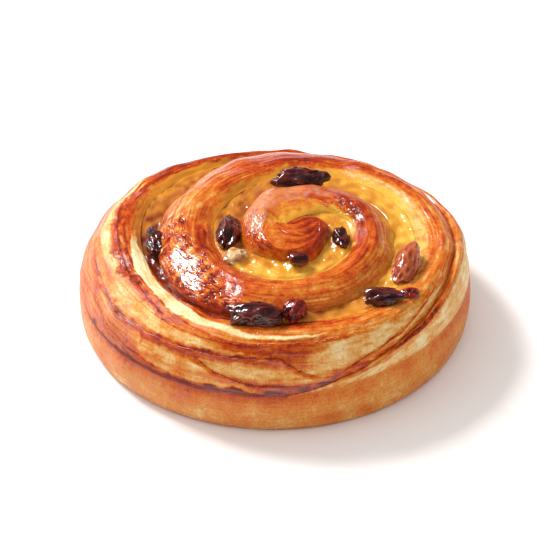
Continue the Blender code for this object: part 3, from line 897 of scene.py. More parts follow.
def crust_material():
    """Baked laminated dough, brushed with egg and glazed: cream to red-brown with fine streaks along
    the ribbon, under a clear glossy coat that has dried into a net of creases here and there. Painted
    shade darkens the creases and the steps of the lifted lips, and a painted sheen of pinkish white lies
    where the glaze faces the light. The coat's IOR is a little over egg and sugar's 1.5, for glints as
    strong as on the sticky glaze."""
    colours = bpy.context.scene.pastry_colours
    material, tree, shader = new_material("egg_glazed_laminated_dough", colours.orange)
    read = {name: add(tree, "Attribute", {"attribute_name": name}).outputs["Fac"] for name in CRUST_VALUES}
    noise = crust_noises(tree)
    drawn = crust_patterns(tree, read, noise)
    browning_and_painted_shade, relief = read["bake"], 0.0
    for name, share in BROWNING_AND_PAINTED_SHADE.items():
        browning_and_painted_shade = add(tree, "Math", {"operation": "MULTIPLY_ADD"}, {0: drawn[name], 1: share, 2: browning_and_painted_shade})
    for name, height in RELIEF.items():
        relief = add(tree, "Math", {"operation": "MULTIPLY_ADD"}, {0: drawn[name], 1: height, 2: relief})
    crust = add(tree, "ValToRGB", {}, {"Fac": browning_and_painted_shade})
    set_ramp(crust, (
        (0.0, colours.cream), (0.16, colours.straw), (0.32, colours.golden), (0.46, colours.orange),
        (0.6, colours.russet), (0.74, colours.red_brown), (0.87, colours.maroon), (1.0, colours.burnt)))
    custard = custard_colour(tree, read["film_bake"])
    filmed = add(tree, "Mix", {"data_type": "RGBA"}, {"Factor": read["film"], 6: crust, 7: custard})
    # Painted sheen: pinkish white mixed in, in specks, where the glaze faces the light
    specks = add(tree, "MapRange", {"interpolation_type": "SMOOTHSTEP"}, {
        "Value": noise["specks"], "From Min": PAINTED_SHEEN_SPECKS[0], "From Max": PAINTED_SHEEN_SPECKS[1]})
    bloom = add(tree, "Math", {"operation": "MULTIPLY"}, {0: read["bloom"], 1: specks})
    with_painted_sheen = add(tree, "Mix", {"data_type": "RGBA"}, {
        "Factor": bloom, 6: filmed.outputs[2], 7: colours.bloom})
    bump = add(tree, "Bump", {}, {"Strength": 1.0, "Distance": 1.0, "Height": relief})
    glaze = add(tree, "Math", {"operation": "SUBTRACT"}, {0: 1.0, 1: read["dry"]})
    set_inputs(tree, shader, {
        "Base Color": with_painted_sheen.outputs[2], "Roughness": 0.6, "Specular IOR Level": 0.02, "Normal": bump,
        "Coat Weight": glaze, "Coat Roughness": 0.13, "Coat IOR": 1.6, "Coat Normal": bump})
    return material


def custard_material():
    """Baked custard: a smooth yellow cream with a browner skin, a little see-through and glossy."""
    colours = bpy.context.scene.pastry_colours
    material, tree, shader = new_material("baked_custard", colours.custard)
    place = add(tree, "TexCoord").outputs["Object"]
    bake = add(tree, "Attribute", {"attribute_name": "bake"}).outputs["Fac"]
    grain = add(tree, "TexNoise", {}, {"Vector": place, "Scale": 1.0 / CUSTARD_GRAIN_SIZE, "Detail": 3.0})
    bump = add(tree, "Bump", {}, {"Strength": 1.0, "Distance": CUSTARD_GRAIN_DEPTH, "Height": grain})
    set_inputs(tree, shader, {
        "Base Color": custard_colour(tree, bake), "Roughness": 0.5, "Specular IOR Level": 0.08,
        "Subsurface Weight": 0.12, "Subsurface Radius": (1.0, 0.6, 0.2), "Subsurface Scale": 1.5 * MM,
        "Normal": bump, "Coat Weight": 0.9, "Coat Roughness": 0.15, "Coat Normal": bump})
    return material


def raisin_material(name, dark, middle, light, roughness):
    """The skin of a dried grape: dark with painted shade in the folds, lighter with painted light on the
    ridges, with a sticky gloss.
    """
    material, tree, shader = new_material(name, middle)
    ridge = add(tree, "Attribute", {"attribute_name": "ridge"}).outputs["Fac"]
    place = add(tree, "TexCoord").outputs["Object"]
    specks = add(tree, "TexNoise", {}, {"Vector": place, "Scale": 1.0 / RAISIN_SPECK_SIZE, "Detail": 4.0})
    level = add(tree, "Math", {"operation": "MULTIPLY_ADD"}, {0: specks, 1: RAISIN_SPECKS, 2: ridge})
    ramp = add(tree, "ValToRGB", {}, {"Fac": level})
    set_ramp(ramp, ((0.25, dark), (0.6, middle), (1.0, light)))
    bump = add(tree, "Bump", {}, {"Strength": 1.0, "Distance": RAISIN_GRAIN_DEPTH, "Height": specks})
    set_inputs(tree, shader, {
        "Base Color": ramp, "Roughness": roughness, "Specular IOR Level": 0.08, "Normal": bump,
        "Coat Weight": 1.0, "Coat Roughness": 0.18, "Coat IOR": 1.7})
    return material


def place_piece(piece, slot, *nodes):
    """Lets a piece ride on the pastry's body in place of its solids; the record's finish that it is given
    is not used.
    """
    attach(piece, "root")
    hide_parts(*nodes)


def section_angles():
    """Angles of the crust's sections, with the same ones on both sides of the seam."""
    parts = [np.linspace(first, last, count + 1)[:-1] for first, last, count in STRETCHES]
    return np.append(np.concatenate(parts), STRETCHES[-1][1])


def crest_length(angle):
    """Millimetres along the crest from the knob."""
    radius, height = crest(angle)
    path = in_place(angle, radius, height) / MM
    steps = np.linalg.norm(np.diff(path, axis=0), axis=1)
    return np.append(0.0, np.cumsum(steps))


def slope_point(angle, across, lift=0.0):
    """A point of the ribbon's top: each slope blends a quarter of an ellipse with an S-curve from the
    crest down to the edge, the inner one of the knob and of the tail is all S-curve, and lift moves
    the point outward from it."""
    inner, inner_level, outer, outer_level = ribbon_sides(angle)
    outer = outer + along(angle, FOLD_OVER, first=FOLD_START) * MM
    crest_radius, crest_height = crest(angle)
    inward = across < 0.0
    edge = np.where(inward, inner, outer)
    level = np.where(inward, inner_level, outer_level)
    turn = 0.5 * math.pi * np.abs(across)
    in_knob = np.where(inward, smooth((angle - KNOB_END) / SHAPE_BLEND), 1.0)
    outward = np.where(inward, -1.0, 1.0) * np.sin(turn) * in_knob
    radius = crest_radius + (edge - crest_radius) * np.sin(turn)
    height = level + (crest_height - level) * np.cos(turn)
    in_tail = smooth((angle - SLOT_END - FULL_TURN) / STATION)
    in_core = smooth((FULL_TURN - angle) / STATION)
    inner_softness = np.maximum(np.maximum(in_tail, in_core), along(angle, INNER_SOFTNESS))
    softness = np.where(inward, inner_softness, along(angle, OUTER_SOFTNESS))
    radius = mix(radius, crest_radius + (edge - crest_radius) * np.abs(across), softness)
    height = mix(height, level + (crest_height - level) * smooth(1.0 - np.abs(across)), softness)
    return in_place(angle, radius + lift * outward, height + lift * np.sqrt(1.0 - outward**2))


def lip_lift(angle, across, waver):
    """How far the lifted layers stand out, 0 to 1: a steep step at each lip that dies away further
    down the slope, with the strongest lip counting."""
    lift = np.zeros_like(across)
    for lip in LIPS:
        at, middle = np.array(lip).T
        past = across - np.interp(angle, at, middle) + waver
        step = smooth(past / LIP_EDGE + 0.5) * np.clip(1.0 - past / LIP_LENGTH, 0.0, 1.0)
        lift = np.maximum(lift, step * faded_ends(angle, at))
    return lift


def browned(angle, across):
    """How browned the crust is: between the lines across the ribbon it blends smoothly."""
    bake = np.zeros_like(across)
    lines = [along(angle, stations) for stations in BAKE]
    for k in range(len(BAKE_LINES) - 1):
        share = (across - BAKE_LINES[k]) / (BAKE_LINES[k + 1] - BAKE_LINES[k])
        inside = (share >= 0.0) & ((share < 1.0) | (k == len(BAKE_LINES) - 2))
        bake = np.where(inside, mix(lines[k], lines[k + 1], smooth(share)), bake)
    return bake


def crust_noise(plan, flat):
    """The crust's random waves, some in plan and the others along and across the ribbon, with the
    wrinkles as a net of ridges that the others bend."""
    noise = {name: waves(plan, *shape) for name, shape in PLAN_WAVES.items()}
    noise.update({name: waves(flat, *shape) for name, shape in RIBBON_WAVES.items()})
    bent = flat + WRINKLE_BEND * np.stack([noise["streaks"], noise["lumps"]], axis=-1)
    noise["wrinkle"] = np.exp(-((waves(bent, *WRINKLE_WAVES) / CREASE_SHARPNESS) ** 2))
    noise["waver"] = WAVER * noise["waver"] + FINE_WAVER * noise["fine_waver"]
    return noise


def painted(angle, across, noise, in_ribbon, crackled):
    """How browned the crust is with its waves, bands and lips, and how much of it is pale."""
    waver, blotch, fine_streaks = noise["waver"], noise["blotch"], noise["fine_streaks"]
    bake = browned(angle, across) + STREAK_BAKE * (noise["streaks"] + fine_streaks) * in_ribbon
    bake = bake + (MOTTLE_BAKE + CRACKLED_MOTTLE * crackled) * noise["mottle"]
    pale_waves = PALE_STREAKS * fine_streaks + PALE_BLOTCH * blotch + PALE_CLOUD * noise["cloud"]
    pale = np.zeros_like(across)
    for level, edge, points in PALE_BANDS:
        cover = band(angle, across, points, edge, waver)
        bake = mix(bake, level + pale_waves, cover)
        pale = np.maximum(pale, cover)
    for level, points in DARK_BANDS:
        cover = band(angle, across, points, DARK_EDGE, DARK_WAVER * waver + DARK_FRAY * blotch)
        bake = mix(bake, level + DARK_BLOTCH * blotch, cover)
    for lip in LIPS:
        browned_edge = [(at, middle + LIP_HALF, LIP_HALF) for at, middle in lip]
        cover = LIP_COVER * band(angle, across, browned_edge, LIP_HALF, waver)
        bake = mix(bake, LIP_BAKE + LIP_BLOTCH * blotch, cover)
    return bake, pale


def crust_relief(angle, across, noise, film, crackled, in_ribbon):
    """How far the crust stands out in metres: lumps, ridges along the ribbon, wrinkles and the film's
    ripples, calm at the ribbon's edges, with the flatter places and the lifted layers."""
    settings = bpy.context.scene.pastry_shape
    relief = settings.lump_height * noise["lumps"]
    for at, middle, reach_along, reach_across, depth in FLATTENED:
        away = ((angle - at) / reach_along) ** 2 + ((across - middle) / reach_across) ** 2
        relief = relief - depth * MM * np.exp(-away)
    ridges = noise["streaks"] + FINE_STREAK_SHARE * noise["fine_streaks"]
    ridges = ridges * in_ribbon * calmed((film, 0.0, crackled), RIDGE_CALM)
    relief = relief + settings.streak_height * ridges
    ripple = FILM_RIPPLE * noise["mottle"] * film
    relief = relief + settings.wrinkle_height * (ripple - noise["wrinkle"] * crackled)
    edge_calm = smooth((1.0 - np.abs(across)) / EDGE_CALM)
    edge_calm = np.where(across < 0.0, mix(1.0, edge_calm, in_ribbon), edge_calm)
    lift = lip_lift(angle, across, noise["waver"]) * smooth((1.0 - across) / LIP_CALM)
    return relief * edge_calm + settings.lip_height * lift


def crust_fields(angle, across, arc, width):
    """Everything that varies over the ribbon's top: relief in metres, and the values that its
    material reads."""
    plan = slope_point(angle, across)[..., :2] / MM
    noise = crust_noise(plan, np.stack([arc, width], axis=-1))
    in_ribbon = smooth((angle - KNOB_END) / RIBBON_BLEND)
    mottle = noise["mottle"]
    crackled = strongest(angle, across, CRACKLED, CRACKLE_EDGE, BAND_MOTTLE * mottle)
    # Painted sheen where the glaze faces the light
    bloom = strongest(angle, across, PAINTED_SHEEN_BANDS, PAINTED_SHEEN_EDGE, BAND_MOTTLE * mottle)
    dull = strongest(angle, across, DRY_BANDS, DARK_EDGE, noise["waver"])
    bake, pale = painted(angle, across, noise, in_ribbon, crackled)
    reach = np.where(across < 0.0, along(angle, FILM_INNER), along(angle, FILM_OUTER))
    film_edge = np.abs(across) - 1.0 + reach + FILM_WAVER * (mottle + FILM_STREAKS * noise["streaks"])
    film = smooth(film_edge / FILM_EDGE) * smooth(reach / FILM_START)
    slot_angle = np.where(across < 0.0, angle - FULL_TURN, angle)
    # Painted shade on the film of the outer slopes, beside the custard's shaded side; on the inner slopes
    # the film is paler where it runs thin
    film_shade = np.where(across > 0.0, CUSTARD_PAINTED_SHADE, FILM_PALER)
    covers = (film, pale, crackled)
    layers = smooth((angle - LAYERS_FROM) / LAYERS_BLEND) * smooth(across / LAYERS_ACROSS)
    creases = knob_creases(plan) * (angle < FULL_TURN + 2.0 * STATION)
    relief = crust_relief(angle, across, noise, film, crackled, in_ribbon)
    relief = relief - bpy.context.scene.pastry_shape.crease_depth * creases
    values = {
        # The knob's creases get painted shade as well as their depth
        "bake": np.clip(bake + KNOB_CREASE_PAINTED_SHADE * creases, 0.0, 1.0),
        "film": film,
        "film_bake": along(slot_angle, CUSTARD_BAKE) + film_shade,
        "crackle": crackled,
        "streak": in_ribbon * calmed(covers, STREAK_CALM),
        "layers": layers * calmed(covers, LAYER_CALM),
        "dry": np.maximum(PALE_DRYNESS * pale, dull),
        "bloom": np.maximum(bloom * (1.0 + PAINTED_SHEEN_MOTTLE * mottle), 0.0),
    }
    return relief, values


def knob_creases(plan):
    """How deep the knob's creases are at each place, 0 to 1: it falls to a third for each crease's
    width away from its line."""
    depth = np.zeros(plan.shape[:-1])
    for line in KNOB_CREASES:
        depth = np.maximum(depth, np.exp(-distance_to_line(plan, line) / KNOB_CREASE_WIDTH))
    return depth


def plain_values(**given):
    """The given values, and 0 for the others that the crust's material reads."""
    return {name: given.get(name, 0.0) for name in CRUST_VALUES}


def section_at(sections, angle):
    """The number of the section that stands at an angle."""
    return int(np.searchsorted(sections, angle))


def add_ribbon(skin, sections):
    """Adds the ribbon's top, and gives its points, its values and the millimetres along it."""
    inner_columns = np.linspace(-1.0, 0.0, INNER_COLUMNS + 1)[:-1]
    columns = np.append(inner_columns, np.linspace(0.0, 1.0, OUTER_COLUMNS + 1))
    angle, across = np.meshgrid(sections, columns, indexing="ij")
    arc = np.broadcast_to(crest_length(sections)[:, None], angle.shape)
    steps = np.linalg.norm(np.diff(slope_point(angle, across) / MM, axis=1), axis=2)
    width = np.concatenate([np.zeros((len(sections), 1)), np.cumsum(steps, axis=1)], axis=1)
    width = width - width[:, INNER_COLUMNS : INNER_COLUMNS + 1]
    relief, values = crust_fields(angle, across, arc, width)
    ribbon = slope_point(angle, across, relief)
    skin.add_grid(ribbon, values, np.stack([arc, width, angle, across], axis=-1))
    return ribbon, values, arc


def add_crown(skin, sections, ribbon, bake):
    """Adds the knob's crown: rings from the pole out to the inner edge of the ribbon's first turn."""
    settings = bpy.context.scene.pastry_shape
    count = section_at(sections, FULL_TURN) + 1
    circle = sections[:count]
    share = np.linspace(0.0, 1.0, CORE_RINGS + 1)[None, :]
    ring = around(circle, KNOB_RING)[:, None] * MM
    crown = in_place(circle[:, None], CORE_RADIUS * share, KNOB_TOP + (ring - KNOB_TOP) * smooth(share))
    plan = crown[..., :2] / MM
    creases = knob_creases(plan)
    crown[..., 2] += settings.lump_height * waves(plan, *PLAN_WAVES["lumps"]) * share
    crown[..., 2] -= settings.crease_depth * creases
    crown[:, -1] = ribbon[:count, 0]
    # The crown's creases get painted shade as well as their depth
    crown_bake = KNOB_BAKE + MOTTLE_BAKE * waves(plan, *PLAN_WAVES["mottle"]) + KNOB_CREASE_PAINTED_SHADE * creases
    at_ring = share**CROWN_BLEND
    crown_bake = mix(crown_bake, bake[:count, :1], at_ring)
    values = plain_values(bake=crown_bake, streak=CROWN_STREAK * (1.0 - at_ring))
    skin.add_grid(crown, values, np.concatenate([plan, np.zeros_like(plan)], axis=-1))


def add_walls(skin, sections, ribbon, inner_foot, outer_foot):
    """Adds the slot's two walls, from the ribbon's edges down to their lines on the floor."""
    for edge, foot, start in ((ribbon[:, -1], outer_foot, 0.0), (ribbon[:, 0], inner_foot, FULL_TURN)):
        wall = slice(section_at(sections, start), section_at(sections, start + SLOT_END) + 1)
        below = edge[wall] - np.array([0.0, 0.0, WALL_TOP])
        sheet = np.stack([edge[wall], below, foot[wall]], axis=1)
        skin.add_grid(sheet, plain_values(bake=WALL_BAKE), NO_PLACE)


def add_side(skin, rim, edge, edge_values, arc):
    """Adds the side from the rim's edge down to the floor, and gives its foot. Just under the rim it
    has the ribbon's own values."""
    profile = np.array([(0.0, 1.0), *SIDE_PROFILE])
    rows = np.linspace(1.0, 0.0, SIDE_ROWS + 1)
    radius = rim_radius(rim) + np.interp(-rows, -profile[:, 1], profile[:, 0]) * MM
    height = rim_height(rim) * rows
    smooth_side = in_place(rim, radius, height) / MM
    lumps = SIDE_LUMP * waves(smooth_side, *SIDE_LUMP_WAVES) * np.sin(math.pi * rows)
    side = in_place(rim, radius + lumps, height)
    side[:, 0] = edge
    bake = around(rim, SIDE_BAKE) + SIDE_TOP_BAKE * rows**SIDE_TOP_FADE
    bake = bake + SIDE_MOTTLE * waves(side / MM, *SIDE_MOTTLE_WAVES)
    bake = bake + SIDE_SPECKS * waves(side / MM, *SIDE_SPECK_WAVES)
    under_rim = rows**SIDE_BLEND
    # Painted sheen on the side as well, most on the left, where the light falls
    values = plain_values(
        bake=mix(bake, edge_values["bake"], under_rim), streak=SIDE_STREAK, dry=SIDE_DRYNESS,
        bloom=mix(around(rim, SIDE_PAINTED_SHEEN), edge_values["bloom"], under_rim))
    place = np.zeros(side.shape[:2] + (len(NO_PLACE),))
    place[..., 0] = arc
    place[..., 1] = side[..., 2] / MM
    skin.add_grid(side, values, place)
    return side[:, -1]


def make_crust():
    """The dough's fine surface: ribbon, knob crown, slot walls, side and underside, welded closed."""
    skin = Skin(CRUST_VALUES)
    sections = section_angles()
    ribbon, values, arc = add_ribbon(skin, sections)
    add_crown(skin, sections, ribbon, values["bake"])
    inner_foot = drawn_in(sections - FULL_TURN, ribbon[:, 0] * np.array([1.0, 1.0, 0.0]))
    outer_foot = drawn_in(sections, in_place(sections, ribbon_sides(sections)[2], 0.0))
    add_walls(skin, sections, ribbon, inner_foot, outer_foot)
    rim = slice(section_at(sections, TAIL_TIP), None)
    edge_values = {name: values[name][rim, -1:] for name in ("bake", "bloom")}
    outer_foot[rim] = add_side(skin, sections[rim, None], ribbon[rim, -1], edge_values, arc[rim, :1])
    under = plain_values(bake=UNDER_BAKE)
    skin.add_grid(np.stack([inner_foot, outer_foot], axis=1), under, NO_PLACE, flip=True)
    core_foot = inner_foot[: section_at(sections, FULL_TURN) + 1]
    pole = np.broadcast_to([*POLE, 0.0], core_foot.shape)
    skin.add_grid(np.stack([pole, core_foot], axis=1), under, NO_PLACE, flip=True)
    return skin.finish("dough_crust", crust_material())


def drawn_in(angle, foot):
    """A slot edge's line on the floor, drawn in along the seam to meet the side's foot at the tip."""
    share = np.clip((angle - SLOT_END) / (TAIL_TIP - SLOT_END), 0.0, 1.0)
    foot = foot.copy()
    foot[:, :2] += direction(angle) * (share * SIDE_PROFILE[-1][0] * MM)[:, None]
    return foot


def turned(x, y, degrees):
    """Two coordinates turned anticlockwise."""
    turn = math.radians(degrees)
    return x * math.cos(turn) - y * math.sin(turn), x * math.sin(turn) + y * math.cos(turn)


def near_raisins(plan):
    """How much custard clings to the raisins at each place, 0 to 1, fading out around each ellipse."""
    cling = np.zeros(plan.shape[:-1])
    for middle, size, turn, _ in RAISINS.values():
        length, width = turned(plan[..., 0] - middle[0], plan[..., 1] - middle[1], -turn)
        away = np.hypot(length / (size[0] / 2.0), width / (size[1] / 2.0))
        cling = np.maximum(cling, smooth(CLING_REACH - away))
    return cling


def make_custard():
    """The custard between the turns: a lumpy ribbon on a foot as wide as the slot. It creeps up a
    little beside the dough's edges and the raisins, and laps over the edges until it dips under
    the crust."""
    angle = np.linspace(CUSTARD_START, CUSTARD_END, CUSTARD_SECTIONS)[:, None]
    share = np.linspace(-1.0, 1.0, CUSTARD_COLUMNS + 1)[None, :]
    foot = np.maximum(slot_half_width(angle) - CUSTARD_CLEARANCE, CUSTARD_LEAST)
    middle = slot_radius(angle)
    radius = middle + (foot + CUSTARD_LAP * MM) * share
    plan = in_place(angle, radius, 0.0 * radius)[..., :2] / MM
    lumps = sum(
        depth * waves(plan, (size, size), CUSTARD_LUMP_COUNT, CUSTARD_LUMP_SEED)
        for size, depth in CUSTARD_LUMPS)
    edge_level = along(angle, SLOT_LEVEL)
    past_edge = np.abs(radius - middle) - foot
    creep = CUSTARD_CREEP * smooth(past_edge / (CUSTARD_FILLET * MM) + 1.0)
    tuck = CUSTARD_TUCK * smooth(past_edge / (CUSTARD_LAP * MM))
    level = edge_level + along(angle, CUSTARD_RISE) + creep - tuck
    level = level + lumps * (1.0 - CUSTARD_CALM * share**2)
    level = level + CUSTARD_CLING * near_raisins(plan) * (1.0 - share**CLING_CALM)
    shoulder = (edge_level - CUSTARD_SKIRT) * MM
    section = [in_place(angle, middle - foot, height) for height in (0.0, shoulder)]
    section += [in_place(angle, radius, level * MM)]
    section += [in_place(angle, middle + foot, height) for height in (shoulder, 0.0)]
    profile = np.concatenate(section, axis=1)
    # Painted shade darkens the custard beside the inner turn's dough
    bake = along(angle, CUSTARD_BAKE) + CUSTARD_PAINTED_SHADE * smooth(0.5 - 0.5 * share)
    bake = bake + CUSTARD_MOTTLE * waves(plan, *CUSTARD_MOTTLE_WAVES)
    edges = np.full((CUSTARD_SECTIONS, 2), CUSTARD_FOOT_BAKE)
    skin = Skin(("bake",))
    skin.add_grid(profile, {"bake": np.concatenate([edges, bake, edges], axis=1)}, NO_PLACE)
    plain = {"bake": CUSTARD_FOOT_BAKE}
    skin.add_grid(profile[:, [0, -1]], plain, NO_PLACE, flip=True)
    half_count = profile.shape[1] // 2 + 1
    for end in (profile[0], profile[-1]):
        skin.add_grid(np.stack([end[:half_count], end[::-1][:half_count]], axis=1), plain, NO_PLACE)
    return skin.finish("custard_filling", custard_material())


def make_raisin(name, number, material):
    """One raisin: an egg shape in unit steps along and around, with bulges and a net of seeded ridges
    that run mostly lengthwise, then sized, tilted, turned and placed."""
    middle, size, turn, tilt = RAISINS[name]
    lengthwise = np.linspace(0.0, math.pi, RAISIN_RINGS + 1)[:, None]
    sideways = np.linspace(0.0, 2.0 * math.pi, RAISIN_SIDES + 1)[None, :]
    unit = np.stack([
        np.cos(lengthwise) + 0.0 * sideways,
        np.sin(lengthwise) * np.cos(sideways),
        np.sin(lengthwise) * np.sin(sideways),
    ], axis=-1)
    half = np.array(size) / 2.0
    sized = unit * half
    bulge, folds, creases = (
        waves(sized, lengths, count, seed + number) for lengths, count, seed, _ in RAISIN_RELIEF)
    folds, creases = (np.exp(-((net / RIDGE_SHARPNESS) ** 2)) for net in (folds, creases))
    bulge_height, fold_height, crease_height = (row[-1] for row in RAISIN_RELIEF)
    raised = bulge_height * bulge + fold_height * (folds - 0.5) + crease_height * (creases - 0.5)
    depth = 1.0 + raised * PLUMP_RAISINS.get(name, 1.0) / float(half[1:].mean())
    x, y, z = np.moveaxis(sized * depth[..., None], -1, 0)
    x, z = turned(x, z, tilt)
    x, y = turned(x, y, turn)
    # Lighter on the ridges and darker in the folds: painted light and painted shade
    ridge = np.clip(RIDGE_SHARES[0] * folds + RIDGE_SHARES[1] * creases, 0.0, RIDGE_MOST)
    skin = Skin(("ridge",))
    skin.add_grid((np.stack([x, y, z], axis=-1) + np.array(middle)) * MM, {"ridge": ridge}, NO_PLACE)
    return skin.finish(name + "_skin", material)


def lay_floor(scene):
    """The white sweep under the pastry: one flat square."""
    half = FLOOR_SIZE / 2.0
    mesh = bpy.data.meshes.new("floor")
    corners = [(-half, -half, 0.0), (half, -half, 0.0), (half, half, 0.0), (-half, half, 0.0)]
    mesh.from_pydata(corners, [], [(0, 1, 2, 3)])
    tone = scene.pastry_colours.floor
    material, tree, shader = new_material("white_paper_sweep", tone)
    set_inputs(tree, shader, {"Base Color": tone, "Roughness": 0.9})
    mesh.materials.append(material)
    floor = bpy.data.objects.new("floor", mesh)
    scene.collection.objects.link(floor)


def light_room(scene):
    """White surroundings, which are darker in the pastry's gloss."""
    world = bpy.data.worlds.new("white_room")
    scene.world = world
    world.use_nodes = True
    ray = add(world.node_tree, "LightPath")
    strength = add(world.node_tree, "MapRange", {}, {
        "Value": ray.outputs["Is Glossy Ray"], "To Min": ROOM_STRENGTH, "To Max": MIRRORED_STRENGTH})
    set_inputs(world.node_tree, world.node_tree.nodes["Background"], {"Color": WHITE, "Strength": strength})


def hang_light(scene, name, way, distance, size, power, mirrored):
    """A square softbox that faces the pastry from the given way, and shows in its gloss or not."""
    light = bpy.data.lights.new(name, "AREA")
    light.shape = "SQUARE"
    light.size = size
    light.energy = power
    lamp = bpy.data.objects.new(name, light)
    towards = Vector(way).normalized()
    lamp.location = towards * distance
    lamp.rotation_euler = towards.to_track_quat("Z", "Y").to_euler()
    lamp.visible_glossy = mirrored
    scene.collection.objects.link(lamp)


def set_camera(scene):
    """The camera in front of the pastry, looking down at it."""
    data = bpy.data.cameras.new("camera")
    data.sensor_width = CAMERA_SENSOR
    data.lens = CAMERA_LENS
    camera = bpy.data.objects.new("camera", data)
    elevation = math.radians(CAMERA_ELEVATION)
    camera.location = Vector((0.0, -math.cos(elevation), math.sin(elevation))) * CAMERA_DISTANCE
    down = math.radians(CAMERA_ELEVATION - CAMERA_RAISE)
    turn = math.radians(CAMERA_TURN)
    ahead = math.cos(down)
    heading = Vector((math.sin(turn) * ahead, math.cos(turn) * ahead, -math.sin(down)))
    camera.rotation_euler = heading.to_track_quat("-Z", "Y").to_euler()
    scene.collection.objects.link(camera)
    scene.camera = camera
    scene.view_settings.view_transform = "Standard"


def colour(name, description, code):
    """A colour that the user can change, from its sRGB hex code."""
    return bpy.props.FloatVectorProperty(
        name=name, description=description, default=hex_colour(code), size=4, min=0.0, max=1.0,
        subtype="COLOR")


class PastryColours(bpy.types.PropertyGroup):
    """Colours of the crust from palest to darkest, and of the custard, raisins and floor."""

    cream: colour("Cream", "Dough where a layer has only just opened", "#e4d3a6")
    straw: colour("Straw", "Dough that has hardly browned", "#dcb070")
    golden: colour("Golden", "Lightly baked crust", "#ce8536")
    orange: colour("Orange", "Crust as most of it is", "#c6651c")
    russet: colour("Russet", "Well browned crust", "#b5450c")
    red_brown: colour("Red-brown", "Dark baked crust", "#9a2a08")
    maroon: colour("Maroon", "The darkest glazed crust", "#7c230b")
    burnt: colour("Burnt", "Edges that have caught", "#581808")
    # Painted sheen: the pinkish white mixed in where the glaze would mirror the light
    bloom: colour("Painted sheen", "Crust where the glaze has gone dull", "#cb9680")
    custard_cream: colour("Custard cream", "Custard at its palest", "#e6cb86")
    custard_yellow: colour("Custard yellow", "Custard where it is thick", "#dcaa3c")
    custard: colour("Custard", "Custard as most of it is", "#cb8424")
    custard_brown: colour("Browned custard", "Custard with a baked skin", "#ab611d")
    # Caramel also holds the painted shade of the deep, narrow slot
    caramel: colour("Caramel", "Custard and glaze baked dark in the narrow slot", "#6a1a08")
    # A raisin's fold colour holds painted shade, its ridge colours painted light
    raisin_fold: colour("Raisin fold", "A dark raisin between its ridges", "#1c0908")
    raisin: colour("Raisin", "A dark raisin's skin", "#42110f")
    raisin_ridge: colour("Raisin ridge", "A dark raisin on its ridges", "#7a2420")
    red_raisin: colour("Red raisin", "The red raisin's skin", "#7c100a")
    red_ridge: colour("Red raisin ridge", "The red raisin on its ridges", "#9a1e10")
    amber_raisin: colour("Amber raisin", "The light raisin's skin", "#a64820")
    amber_ridge: colour("Amber raisin ridge", "The light raisin on its ridges", "#c6744a")
    coated_raisin: colour("Coated raisin", "The raisin under a film of custard", "#cfa06a")
    floor: colour("Floor", "The white sweep under the pastry", "#f4efec")


def depth(name, description, millimetres):
    """A depth of relief that the user can change."""
    return bpy.props.FloatProperty(
        name=name, description=description, default=millimetres * MM, min=0.0, unit="LENGTH")


class PastryShape(bpy.types.PropertyGroup):
    """Depths of the relief on the crust."""

    lip_height: depth("Lip height", "How far a flaky layer's edge stands up", 0.5)
    lump_height: depth("Lump height", "How high the broad swellings of the dough are", 0.3)
    streak_height: depth("Streak height", "How high the fine ridges along the ribbon are", 0.07)
    wrinkle_height: depth("Wrinkle height", "How high the wrinkles of the dried glaze are", 0.16)
    crease_depth: depth("Knob crease depth", "How deep the creases on the knob are", 0.5)


class PASTRY_OT_dough(bpy.types.Operator):
    """Builds the dough's baked crust"""

    bl_idname = "pastry.dough"
    bl_label = "Dough"

    def execute(self, context):
        place_piece(make_crust(), "baked_dough", "dough")
        return {"FINISHED"}


class PASTRY_OT_custard(bpy.types.Operator):
    """Builds the custard between the turns"""

    bl_idname = "pastry.custard"
    bl_label = "Custard"

    def execute(self, context):
        place_piece(make_custard(), "baked_custard", "custard")
        return {"FINISHED"}


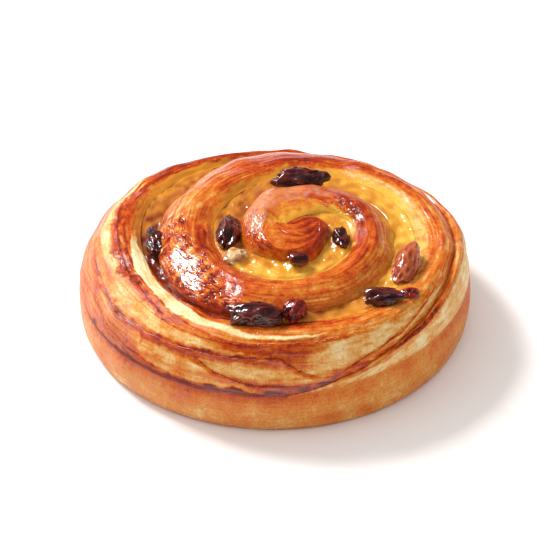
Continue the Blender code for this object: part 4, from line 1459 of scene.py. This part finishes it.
class PASTRY_OT_raisins(bpy.types.Operator):
    """Builds the raisins"""

    bl_idname = "pastry.raisins"
    bl_label = "Raisins"

    def execute(self, context):
        colours = context.scene.pastry_colours
        skins = {}
        for name, (*tones, roughness) in RAISIN_SKINS.items():
            skins[name] = raisin_material(name, *(getattr(colours, tone) for tone in tones), roughness)
        for number, name in enumerate(RAISINS):
            slot, skin = RAISIN_FINISHES.get(name, ("dark_raisin", "dark_raisin_skin"))
            place_piece(make_raisin(name, number, skins[skin]), slot, name)
        return {"FINISHED"}


class PASTRY_OT_stage(bpy.types.Operator):
    """Sets the white floor, the softbox, the white surroundings and the camera"""

    bl_idname = "pastry.stage"
    bl_label = "Stage"

    def execute(self, context):
        lay_floor(context.scene)
        light_room(context.scene)
        for light in LIGHTS:
            hang_light(context.scene, *light)
        set_camera(context.scene)
        return {"FINISHED"}


class PASTRY_PT_sidebar(bpy.types.Panel):
    """The pastry's pieces and sizes, in the sidebar"""

    bl_label = "Pastry Snail"
    bl_idname = "PASTRY_PT_sidebar"
    bl_space_type = "VIEW_3D"
    bl_region_type = "UI"
    bl_category = "Pastry"

    def draw(self, context):
        column = self.layout.column()
        for settings in (context.scene.pastry_shape, context.scene.pastry_colours):
            for name in settings.__annotations__:
                column.prop(settings, name)
        for operator in OPERATORS:
            column.operator(operator.bl_idname)


OPERATORS = (PASTRY_OT_dough, PASTRY_OT_custard, PASTRY_OT_raisins, PASTRY_OT_stage)
CLASSES = (PastryShape, PastryColours, *OPERATORS, PASTRY_PT_sidebar)


def register():
    """Makes the classes known to Blender, and the settings part of the scene."""
    for item in CLASSES:
        bpy.utils.register_class(item)
    bpy.types.Scene.pastry_shape = bpy.props.PointerProperty(type=PastryShape)
    bpy.types.Scene.pastry_colours = bpy.props.PointerProperty(type=PastryColours)


def unregister():
    """Takes the settings and classes away again."""
    del bpy.types.Scene.pastry_colours
    del bpy.types.Scene.pastry_shape
    for item in reversed(CLASSES):
        bpy.utils.unregister_class(item)


def main():
    """Builds the whole pastry."""
    register()
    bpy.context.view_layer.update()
    bpy.ops.pastry.dough()
    bpy.ops.pastry.custard()
    bpy.ops.pastry.raisins()
    bpy.ops.pastry.stage()


if __name__ == "__main__":
    main()
